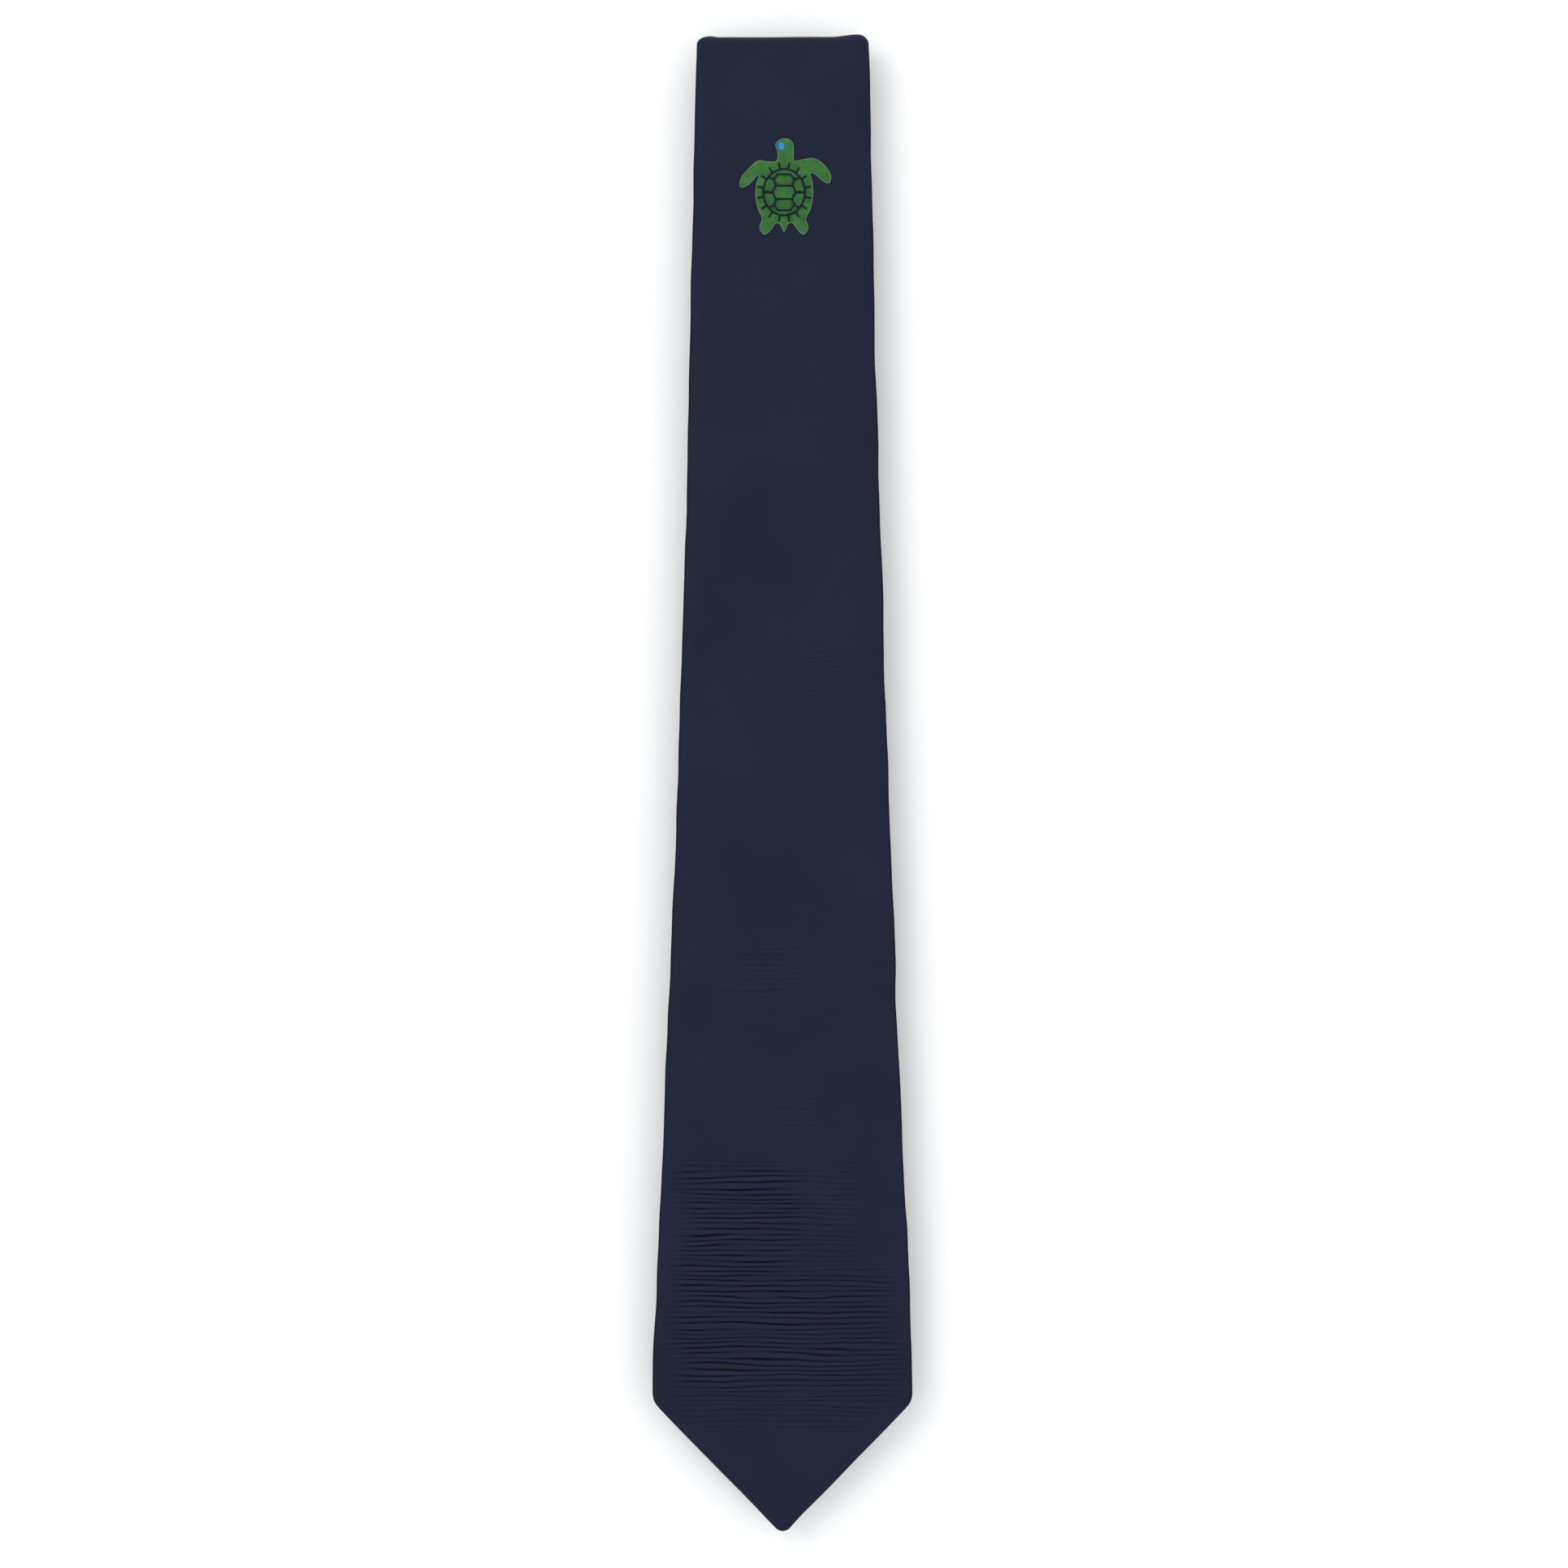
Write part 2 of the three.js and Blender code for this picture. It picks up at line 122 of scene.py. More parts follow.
def new_mesh(name, points, faces, material, uv=None, values=None):
    """A mesh object from points in millimetres. uv is one pair for each point."""
    mesh = bpy.data.meshes.new(name)
    mesh.from_pydata((np.asarray(points, float) * MM).tolist(), [], faces)
    if uv is not None:
        corner = np.empty(len(mesh.loops), np.int32)
        mesh.loops.foreach_get("vertex_index", corner)
        layer = mesh.uv_layers.new(name="Cloth")
        layer.data.foreach_set("uv", (np.asarray(uv, np.float32)[corner] * MM).ravel())
    for key, value in (values or {}).items():
        attribute = mesh.attributes.new(key, "FLOAT", "POINT")
        attribute.data.foreach_set("value", np.asarray(value, np.float32).ravel())
    mesh.materials.append(material)
    mesh.polygons.foreach_set("use_smooth", [True] * len(mesh.polygons))
    mesh.update()
    piece = bpy.data.objects.new(name, mesh)
    scene.collection.objects.link(piece)
    return piece


def turned_outward(points, faces):
    """The same faces, all turned over if they enclose a negative volume. The quads alone are counted."""
    p = np.asarray(points)
    quads = np.array([face for face in faces if len(face) == 4])
    a, b, c, d = (p[quads[:, k]] for k in range(4))
    volume = np.einsum("ij,ij->i", a, np.cross(b, c)).sum() + np.einsum("ij,ij->i", a, np.cross(c, d)).sum()
    return faces if volume > 0 else [face[::-1] for face in faces]


def ring_faces(rows, size, closed_rows=False, ends=True):
    """Faces between rings of points, with a cap on each end."""
    k = np.arange(rows if closed_rows else rows - 1)[:, None]
    i = np.arange(size)[None, :]
    a = k * size + i
    b = k * size + (i + 1) % size
    c = ((k + 1) % rows) * size + (i + 1) % size
    d = ((k + 1) % rows) * size + i
    faces = np.stack([np.broadcast_to(v, a.shape) for v in (a, b, c, d)], -1).reshape(-1, 4).tolist()
    if ends and not closed_rows:
        faces.append(list(range(size))[::-1])
        faces.append(list(range((rows - 1) * size, rows * size)))
    return faces


def sheet_faces(rows, columns):
    """Faces of a closed sheet: rings of an outer and an inner row of points, closed at both ends."""
    size = 2 * columns
    faces = ring_faces(rows, size, ends=False)
    last = (rows - 1) * size
    for i in range(columns - 1):
        faces.append([i, i + 1, size - 2 - i, size - 1 - i][::-1])
        faces.append([last + i, last + i + 1, last + size - 2 - i, last + size - 1 - i])
    return faces


def tube(path, radius, sides=8, closed=False):
    """Points and faces of a round thread along a path."""
    path = np.asarray(path, float)
    ahead = np.roll(path, -1, 0) - np.roll(path, 1, 0)
    if not closed:
        ahead[0] = path[1] - path[0]
        ahead[-1] = path[-1] - path[-2]
    ahead /= np.linalg.norm(ahead, axis=1)[:, None]
    up = np.array([0, 0, 1.0])
    if np.abs(ahead @ up).max() > 0.9:
        up = np.array([0.3, 0.2, 0.93])
    across = np.cross(ahead, up)
    across /= np.linalg.norm(across, axis=1)[:, None]
    lift = np.cross(across, ahead)
    angle = 2 * math.pi * np.arange(sides) / sides
    rim = np.cos(angle)[None, :, None] * across[:, None] + np.sin(angle)[None, :, None] * lift[:, None]
    points = (path[:, None] + radius * rim).reshape(-1, 3)
    return points, ring_faces(len(path), sides, closed_rows=closed)


def joined(parts):
    """Several (points, faces) made into one."""
    points, faces, start = [], [], 0
    for p, f in parts:
        points.append(p)
        faces += [[start + i for i in face] for face in f]
        start += len(p)
    return np.concatenate(points), faces


# ---------------------------------------------------------------- the route of the tie


def middle_z(node):
    low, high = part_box(node)
    return (low.z + high.z) / 2 / MM


HINGE = {j["name"]: np.array(j["pos_m"]) / MM for j in frame["joints"]}
POINT_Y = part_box("blade_shell")[0].y / MM
TIE_LENGTH = 1480
LAYER = 2.8
layer_z = [
    middle_z(node)
    for node in ("blade_interlining", "upper_neck_interlining", "lower_neck_interlining", "tail_interlining")
]
fold_names = ["top_fold", "lower_fold", "tail_fold"]
# Each run: where it starts and ends along the tie, its way (+1 towards the top fold), start or
# centre y, middle z, and the fold's radius or 0.
RUNS = []
along = 0.0
start_y = POINT_Y
for k, way in enumerate((1, -1, 1, -1)):
    if k < 3:
        end_y = HINGE[fold_names[k]][1]
        length = abs(end_y - start_y)
    else:
        length = TIE_LENGTH - along
    RUNS.append((along, along + length, way, start_y, layer_z[k], 0.0))
    along += length
    if k < 3:
        radius = (layer_z[k] - layer_z[k + 1]) / 2
        RUNS.append((along, along + math.pi * radius, way, end_y, (layer_z[k] + layer_z[k + 1]) / 2, radius))
        along += math.pi * radius
        start_y = end_y
BLADE, TOP_FOLD, UPPER, _, LOWER, _, TAIL = RUNS


# The blade's point reaches past the layers under it and droops a little.
FREE_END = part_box("lower_fold_silk")[0].y / MM - POINT_Y
DROOP = 1.4


def route(distance):
    """y, z and heading of the middle of the tie at each distance from the blade's point."""
    s = np.asarray(distance, float)
    y, z, heading = np.zeros_like(s), np.zeros_like(s), np.zeros_like(s)
    for start, end, way, y0, z0, radius in RUNS:
        here = (s >= start - 1e-9) & (s <= end + 1e-9)
        if radius:
            swing = (s[here] - start) / radius
            y[here] = y0 + way * radius * np.sin(swing)
            z[here] = z0 + radius * np.cos(swing)
            heading[here] = -swing if way > 0 else swing - math.pi
        else:
            y[here] = y0 + way * (s[here] - start)
            z[here] = z0
            heading[here] = 0 if way > 0 else -math.pi
    free = np.clip(1 - s / FREE_END, 0, 1)
    return y, z - DROOP * free**2, heading + 2 * DROOP / FREE_END * free


def placed(x, s, n):
    """Points of the row frame from x across the tie, s along it, and n towards its front face."""
    x, s, n = np.broadcast_arrays(np.asarray(x, float), np.asarray(s, float), np.asarray(n, float))
    y, z, heading = route(s)
    return np.stack([x, y - n * np.sin(heading), z + n * np.cos(heading)], -1)


# Half the tie's width at distances along it, from point to point.
SIDE = np.array(
    [
        (0.95, 2.2),
        (39, 38.9),
        (40.2, 39.7),
        (41.8, 40),
        (54, 40),
        (98, 38),
        (143, 35.9),
        (233, 32.4),
        (323, 29.6),
        (461, 26.5),
        (600, 21),
        (740, 17.2),
        (820, 16),
        (1010, 16),
        (1160, 18.2),
        (TIE_LENGTH - 160, 21.5),
        (TIE_LENGTH - 60, 22.6),
        (TIE_LENGTH - 24, 23),
        (TIE_LENGTH - 22.4, 22.7),
        (TIE_LENGTH - 21.3, 21.9),
        (TIE_LENGTH - 0.95, 2.2),
    ]
)
POINT_RADIUS = 3.02
POINT_END = 0.95
FINE = 0.25
fine_s = np.arange(0, TIE_LENGTH + FINE, FINE)


def blurred(values, sigma):
    """Values along the tie, averaged over about sigma millimetres."""
    reach = int(4 * sigma / FINE)
    kernel = np.exp(-0.5 * (np.arange(-reach, reach + 1) * FINE / sigma) ** 2)
    padded_values = np.pad(values, reach, mode="edge")
    return np.convolve(padded_values, kernel / kernel.sum(), mode="valid")


sharp = np.interp(fine_s, SIDE[:, 0], SIDE[:, 1])
near_point = np.minimum(fine_s, TIE_LENGTH - fine_s)
soft_share = smooth(56, 90, near_point)
corner_share = smooth(12, 20, near_point)
fine_half = sharp * (1 - corner_share) + blurred(sharp, 1.0) * corner_share
fine_half = fine_half * (1 - soft_share) + blurred(sharp, 12) * soft_share


def half_width(s):
    """Half the tie's width at each distance from the blade's point."""
    s = np.asarray(s, float)
    q = np.minimum(s, TIE_LENGTH - s)
    half = np.interp(s, fine_s, fine_half)
    rounded = np.sqrt(np.maximum(POINT_RADIUS**2 - (POINT_RADIUS - np.clip(q, 0, POINT_END)) ** 2, 1e-4))
    return np.where(q < POINT_END, rounded, half)


OPENINGS = {
    "blade": {"hem": 16, "widest": 44, "half": 27, "top": 130},
    "tail": {"hem": 11, "widest": 27, "half": 13, "top": 75},
}
SEAM_GAP = 0.02


def opening_half(q, opening):
    """Half the gap between the back flaps at a distance q from a point."""
    hem, widest, wide = opening["hem"], opening["widest"], opening["half"]
    stops = (hem, hem + 1.5, widest - 2, widest + 3, opening["top"])
    slope = wide / (widest - hem)
    gaps = (SEAM_GAP, 1.5 * slope, wide - 2 * slope, wide - 1.0, SEAM_GAP)
    return np.interp(q, stops, gaps)


def flap_gap(s):
    """Half the gap between the back flaps at each distance from the blade's point."""
    s = np.asarray(s, float)
    blade_end = opening_half(s, OPENINGS["blade"])
    tail_end = opening_half(TIE_LENGTH - s, OPENINGS["tail"])
    return np.where(s < TIE_LENGTH / 2, blade_end, tail_end)


# ---------------------------------------------------------------- procedural materials


class Nodes:
    """Short ways to add and join the nodes of one material."""

    def __init__(self, name):
        self.material = bpy.data.materials.new(name)
        self.material.use_nodes = True
        self.tree = self.material.node_tree
        self.shader = self.tree.nodes["Principled BSDF"]

    def add(self, kind, inputs=None, **settings):
        node = self.tree.nodes.new(kind)
        for key, value in settings.items():
            setattr(node, key, value)
        for key, value in (inputs or {}).items():
            self.put(node.inputs[key], value)
        return node

    def put(self, socket, value):
        if isinstance(value, bpy.types.NodeSocket):
            self.tree.links.new(value, socket)
        else:
            socket.default_value = value

    def math(self, operation, *values):
        node = self.add("ShaderNodeMath", operation=operation)
        for socket, value in zip(node.inputs, values):
            self.put(socket, value)
        return node.outputs[0]

    def noise(self, vector, scale, detail=2.0, roughness=0.5):
        node = self.add("ShaderNodeTexNoise", {"Vector": vector, "Scale": scale, "Detail": detail})
        node.inputs["Roughness"].default_value = roughness
        return node.outputs["Fac"]

    def ramp(self, value, low, high, to_low=0.0, to_high=1.0):
        node = self.add("ShaderNodeMapRange", {"Value": value, "From Min": low, "From Max": high})
        node.inputs["To Min"].default_value = to_low
        node.inputs["To Max"].default_value = to_high
        return node.outputs["Result"]

    def mix(self, factor, first, second, blend_type="MIX"):
        node = self.add("ShaderNodeMix", data_type="RGBA", blend_type=blend_type)
        self.put(node.inputs["Factor"], factor)
        self.put(node.inputs[6], first)
        self.put(node.inputs[7], second)
        return node.outputs[2]

    def bump(self, height, distance, strength=1.0, normal=None):
        node = self.add("ShaderNodeBump", {"Height": height, "Distance": distance, "Strength": strength})
        if normal is not None:
            self.put(node.inputs["Normal"], normal)
        return node.outputs["Normal"]

    def cloth_xy(self):
        """x across and y along the cloth, in millimetres."""
        uv = self.add("ShaderNodeUVMap", uv_map="Cloth").outputs["UV"]
        scaled = self.add("ShaderNodeVectorMath", {0: uv, 1: (1000, 1000, 1000)}, operation="MULTIPLY")
        split = self.add("ShaderNodeSeparateXYZ", {0: scaled.outputs[0]})
        return split.outputs[0], split.outputs[1]

    def vector(self, x, y, z=0.0):
        return self.add("ShaderNodeCombineXYZ", {0: x, 1: y, 2: z}).outputs[0]


def rgba(color):
    return (*color, 1)


def twill(nodes, x, y, pitch):
    """Height of a twill weave: diagonal ribs, broken by the crossing threads."""
    turn = 2 * math.pi / pitch
    diagonal = nodes.math("MULTIPLY", nodes.math("ADD", x, nodes.math("MULTIPLY", y, 0.9)), turn)
    rib = nodes.math("SINE", diagonal)
    cross = nodes.math("SINE", nodes.math("MULTIPLY", x, 2.1 * turn))
    return nodes.ramp(nodes.math("ADD", rib, nodes.math("MULTIPLY", cross, 0.35)), -1.35, 1.35)


CREASE_PITCH = 1.6
SILK_TWILL = 0.55
CANVAS_PITCH = 1.1


def silk_material(name, base, specular, roughness, sheen, creased=False):
    n = Nodes(name)
    x, y = n.cloth_xy()
    weave = twill(n, x, y, SILK_TWILL)
    place = n.vector(x, y)
    broad = n.noise(place, 0.028, 2.0)
    slub = n.noise(n.vector(n.math("MULTIPLY", x, 0.08), n.math("MULTIPLY", y, 1.3)), 1.0, 2.0)
    color = n.mix(n.ramp(broad, 0.3, 0.7), rgba([0.90 * c for c in base]), rgba([1.12 * c for c in base]))
    color = n.mix(n.math("MULTIPLY", weave, 0.16), color, rgba([1.7 * c for c in base]))
    color = n.mix(n.ramp(slub, 0.35, 0.75, 0.0, 0.10), color, rgba([0.5 * c for c in base]))
    normal = n.bump(weave, 0.00002, 0.45)
    # Painted shade: this mask darkens the side edges, where the cloth rolls over, almost to black.
    painted_edge_shade = n.add("ShaderNodeAttribute", attribute_name="painted_edge_shade").outputs["Fac"]
    color = n.mix(n.math("MULTIPLY", painted_edge_shade, 0.75), color, rgba([0.1 * c for c in base]))
    if creased:
        amount = n.add("ShaderNodeAttribute", attribute_name="crease").outputs["Fac"]
        drift = n.noise(n.vector(n.math("MULTIPLY", x, 0.024), n.math("MULTIPLY", y, 0.15)), 1.0, 2.0)
        line = n.math("ADD", n.math("MULTIPLY", y, 1 / CREASE_PITCH), n.math("MULTIPLY", drift, 2.3))
        index = n.math("FLOOR", line)
        offset = n.math("ABSOLUTE", n.math("SUBTRACT", n.math("FRACT", line), 0.5))
        thin = n.ramp(offset, 0.22, 0.06)
        shoulder = n.ramp(offset, 0.5, 0.1)
        lengthwise = n.vector(n.math("MULTIPLY", x, 0.05), n.math("MULTIPLY", index, 3.71))
        strength = n.ramp(n.noise(lengthwise, 1.0, 1.0), 0.28, 0.52, 0.2, 1.0)
        depth = n.math("MULTIPLY", amount, strength)
        # Painted light and shade in the creases: the creased zone is lightened as a painted highlight on the
        # ridges, and each crease line is darkened almost to black as painted shade in its groove.
        groove_shade = n.math("MULTIPLY", thin, depth)
        color = n.mix(n.math("MULTIPLY", depth, 0.3), color, rgba([1.5 * c for c in base]))
        color = n.mix(groove_shade, color, rgba([0.04 * c for c in base]))
        form = n.math("ADD", n.math("MULTIPLY", thin, 0.7), n.math("MULTIPLY", shoulder, 0.5))
        hollow = n.math("MULTIPLY", form, depth)
        normal = n.bump(n.math("SUBTRACT", 1.0, hollow), 0.00022, 0.8, normal)
    n.put(n.shader.inputs["Base Color"], color)
    n.put(n.shader.inputs["Normal"], normal)
    patches = n.ramp(n.noise(place, 0.09, 2.0), 0.3, 0.7, roughness - 0.05, roughness + 0.06)
    n.put(n.shader.inputs["Roughness"], patches)
    n.shader.inputs["Specular IOR Level"].default_value = specular
    n.shader.inputs["Sheen Weight"].default_value = sheen
    n.shader.inputs["Sheen Roughness"].default_value = 0.45
    n.shader.inputs["Sheen Tint"].default_value = (0.55, 0.62, 0.95, 1)
    return n.material


def canvas_material():
    n = Nodes("wool_canvas")
    x, y = n.cloth_xy()
    turn = 2 * math.pi / CANVAS_PITCH
    wave_x = n.math("SINE", n.math("MULTIPLY", x, turn))
    wave_y = n.math("SINE", n.math("MULTIPLY", y, turn))
    over = n.math("MULTIPLY", wave_x, wave_y)
    fuzz = n.noise(n.vector(x, y), 1.6, 5.0, 0.7)
    color = n.mix(n.ramp(over, -1, 1), (0.46, 0.41, 0.32, 1), (0.62, 0.57, 0.47, 1))
    color = n.mix(n.ramp(fuzz, 0.4, 0.7, 0, 0.5), color, (0.72, 0.68, 0.59, 1))
    n.put(n.shader.inputs["Base Color"], color)
    height = n.math("ADD", n.math("MULTIPLY", over, 0.4), fuzz)
    n.put(n.shader.inputs["Normal"], n.bump(height, 0.0003, 0.7))
    n.shader.inputs["Roughness"].default_value = 0.95
    n.shader.inputs["Specular IOR Level"].default_value = 0.15
    return n.material


def thread_material(name, base, roughness=0.6, specular=0.2, pitch=0.34, sheen=0.15):
    """Embroidery or sewing thread: the thread attribute counts the threads across the stitches."""
    n = Nodes(name)
    count = n.add("ShaderNodeAttribute", attribute_name="thread").outputs["Fac"]
    place = n.add("ShaderNodeTexCoord").outputs["Object"]
    offset = n.math("ABSOLUTE", n.math("SUBTRACT", n.math("FRACT", count), 0.5))
    round_top = n.ramp(offset, 0.5, 0.0)
    fiber = n.noise(place, 2600, 3.0, 0.6)
    broad = n.noise(place, 300, 2.0)
    color = n.mix(n.ramp(broad, 0.3, 0.7), rgba([0.78 * c for c in base]), rgba([1.2 * c for c in base]))
    # Painted shade in the gaps between neighbouring threads of the stitches.
    color = n.mix(n.ramp(offset, 0.32, 0.5, 0, 0.75), color, rgba([0.3 * c for c in base]))
    color = n.mix(n.ramp(fiber, 0.5, 0.8, 0, 0.25), color, rgba([min(1.7 * c, 1) for c in base]))
    n.put(n.shader.inputs["Base Color"], color)
    height = n.math("ADD", round_top, n.math("MULTIPLY", fiber, 0.25))
    n.put(n.shader.inputs["Normal"], n.bump(height, pitch * 0.0005, 0.9))
    n.shader.inputs["Roughness"].default_value = roughness
    n.shader.inputs["Specular IOR Level"].default_value = specular
    n.shader.inputs["Sheen Weight"].default_value = sheen
    n.shader.inputs["Sheen Roughness"].default_value = 0.4
    return n.material


def label_material(name, base, border=None, half_x=21.0, middle_y=0.0, half_y=12.0):
    """Woven satin, with a plain lighter line along its border where border is given."""
    n = Nodes(name)
    x, y = n.cloth_xy()
    weave = twill(n, x, n.math("MULTIPLY", y, 0.35), 0.4)
    color = n.mix(weave, rgba([0.8 * c for c in base]), rgba([min(1.15 * c, 1) for c in base]))
    if border:
        from_side = n.math("SUBTRACT", half_x, n.math("ABSOLUTE", x))
        from_end = n.math("SUBTRACT", half_y, n.math("ABSOLUTE", n.math("SUBTRACT", y, middle_y)))
        inset = n.math("MINIMUM", from_side, from_end)
        line = n.ramp(n.math("ABSOLUTE", n.math("SUBTRACT", inset, 3.0)), 0.35, 0.2)
        color = n.mix(n.math("MULTIPLY", line, 0.8), color, rgba(border))
    n.put(n.shader.inputs["Base Color"], color)
    n.put(n.shader.inputs["Normal"], n.bump(weave, 0.00003, 0.5))
    n.shader.inputs["Roughness"].default_value = 0.42
    n.shader.inputs["Specular IOR Level"].default_value = 0.35
    return n.material


def floor_material():
    n = Nodes("paper_floor")
    place = n.add("ShaderNodeTexCoord").outputs["Object"]
    grain = n.noise(place, 260, 3.0)
    n.put(n.shader.inputs["Base Color"], n.mix(grain, (0.970, 0.970, 0.970, 1), (0.980, 0.980, 0.980, 1)))
    n.shader.inputs["Roughness"].default_value = 0.9
    n.shader.inputs["Specular IOR Level"].default_value = 0.1
    return n.material


NAVY = (0.0118, 0.0140, 0.0312)
silk = silk_material("navy_silk", NAVY, specular=0.055, roughness=0.5, sheen=0.035, creased=True)
LINING_NAVY = (0.010, 0.012, 0.030)
lining_silk = silk_material("navy_lining", LINING_NAVY, specular=0.25, roughness=0.38, sheen=0.03)
canvas = canvas_material()
navy_thread = thread_material("navy_thread", (0.012, 0.015, 0.036))
care_thread = thread_material("pale_thread", (0.62, 0.61, 0.56))
green_thread = thread_material("green_thread", (0.040, 0.180, 0.036))
shell_thread = thread_material("shell_thread", (0.036, 0.160, 0.034))
# The turtle's outline cord: its green, paler than the stitches, is a painted highlight along the outline.
edge_thread = thread_material("edge_thread", (0.075, 0.175, 0.075))
mark_thread = thread_material("mark_thread", (0.006, 0.010, 0.022), specular=0.1, sheen=0.02)
blue_thread = thread_material("blue_thread", (0.035, 0.300, 1.0), sheen=0.0)

FLOOR = 4000
floor_corners = [(-FLOOR, -FLOOR, 0), (FLOOR, -FLOOR, 0), (FLOOR, FLOOR, 0), (-FLOOR, FLOOR, 0)]
floor = new_mesh("floor", floor_corners, [[0, 1, 2, 3]], floor_material())

# ---------------------------------------------------------------- the silk

# Thickness of the cloth, how wide the front and the back roll over at the side edges, the bend and
# depth of the flaps' tucked-in lips, and the height of the front's crown.
CLOTH = 0.26
ROLL = 4.5
FOLD_ROLL = 1.5
BACK_ROLL = 2.2
LIP = 0.3
TUCK = 3.0
CROWN = 0.26
FRONT_STEPS, ROLL_STEPS, BACK_STEPS, FLAP_STEPS, LIP_STEPS = 24, 9, 6, 12, 5


def roll_width(rows):
    """How wide the front rolls over at the side edges: wide along a layer, narrow at the top fold."""
    from_fold = np.maximum(TOP_FOLD[0] - rows, rows - TOP_FOLD[1])
    return FOLD_ROLL + (ROLL - FOLD_ROLL) * smooth(0, 12, from_fold)


def section(half, gap, depth, wide):
    """Half of a section for each row, from the middle of the front round to the tucked-in lip."""
    half, gap, depth, wide = (v[:, None] for v in (half, gap, depth, wide))
    roll = np.minimum(wide, 0.8 * half)
    back = np.minimum(BACK_ROLL, 0.6 * half)
    gap = np.minimum(gap, 0.2 * half + np.maximum(gap - 1, 0))
    lip = np.minimum(LIP, 0.3 * depth)
    t = np.arange(FRONT_STEPS)[None, :] / FRONT_STEPS
    xs, ns = [t * (half - roll)], [depth + 0 * t * half]
    angle = np.arange(ROLL_STEPS)[None, :] / ROLL_STEPS * math.pi / 2
    xs.append(half - roll + roll * np.sin(angle))
    ns.append(depth * np.cos(angle) + 0 * half)
    angle = math.pi / 2 + np.arange(BACK_STEPS)[None, :] / BACK_STEPS * math.pi / 2
    xs.append(half - back + back * np.sin(angle))
    ns.append(depth * np.cos(angle) + 0 * half)
    t = np.arange(FLAP_STEPS)[None, :] / FLAP_STEPS
    xs.append((half - back) * (1 - t) + (gap + lip) * t)
    ns.append(-depth + 0 * t * half)
    angle = np.arange(LIP_STEPS)[None, :] / (LIP_STEPS - 1) * math.pi
    xs.append(gap + lip - lip * np.sin(angle))
    ns.append(-depth + lip - lip * np.cos(angle))
    tuck = np.minimum(TUCK, 0.5 * (half - gap - lip))
    t = np.array([[0.5, 1.0]])
    xs.append(gap + lip + tuck * t)
    ns.append(-depth + 2 * lip + 0 * t)
    return np.concatenate(xs, 1), np.concatenate(ns, 1)


def band(s, foot, full, fade, end):
    """1 from full to fade along the tie, with a soft rise from foot and a soft fall to end."""
    return smooth(end, fade, s) * smooth(foot, full, s)


# Faint patches of creases: depth, then middle and spread across the tie and along it.
FAINT_CREASES = [(0.30, -6, 12, 171, 14), (0.22, 4, 14, 131, 9), (0.18, 12, 9, 265, 11)]


def crease_amount(x, s, half):
    """Where the fine cross creases of the front lie, and how deep they are."""
    fade = smooth(1.5, 11, half - np.abs(x) + 3 * ripple(x, s, 61, 30))
    left = 1 - smooth(-3, 9, x + 4 * ripple(0 * x, s, 62, 22))
    upper = band(s, 66, 78, 110, 117) * (0.42 * smooth(28, 16, x) + 0.58 * left)
    lower = band(s, 34, 50, 76, 86) * (0.85 + 0.15 * left)
    last = band(s, 24, 40, 44, 54) * 0.5
    faint = 0
    for share, middle_x, spread_x, middle_s, spread_s in FAINT_CREASES:
        faint = faint + share * np.exp(-(((x - middle_x) / spread_x) ** 2) - ((s - middle_s) / spread_s) ** 2)
    return np.clip(np.maximum(np.maximum(upper, lower), last) * fade + faint, 0, 1)


# The radius of the rounded corners at the top fold.
CORNER = 1.6


def fold_corner(s):
    """How far a corner of the top fold is drawn in."""
    start, end, _, _, _, radius = TOP_FOLD
    swing = np.clip((s - start) / radius, -1.2, math.pi + 1.2)
    past = np.maximum(-swing, 0) + np.maximum(swing - math.pi, 0)
    below = (radius + LAYER / 2) * (1 - np.sin(np.clip(swing, 0, math.pi))) + radius * past
    q = CORNER - np.clip(below, 0, CORNER)
    return CORNER - np.sqrt(np.maximum(CORNER**2 - q**2, 0))


# How far from its end a point thins out, and how much and how far from it a bias seam is pinched.
POINT_THIN = 1.4
SEAM_PINCH, SEAM_REACH = 0.16, 1.4
# The side edges waver: height, seed and length of each ripple. The shift gives each side its own.
EDGE_RIPPLES = [(0.24, 11, 46), (0.12, 12, 17)]
SIDE_SHIFT = 500
# The front swells gently between its edges: height, seed and length.
SWELL = (0.16, 21, 70)
# The top fold bulges near its corners: height, place across the tie and width.
CORNER_BULGES = [(0.85, 22.5, 4.6), (0.35, -22.5, 1.6)]


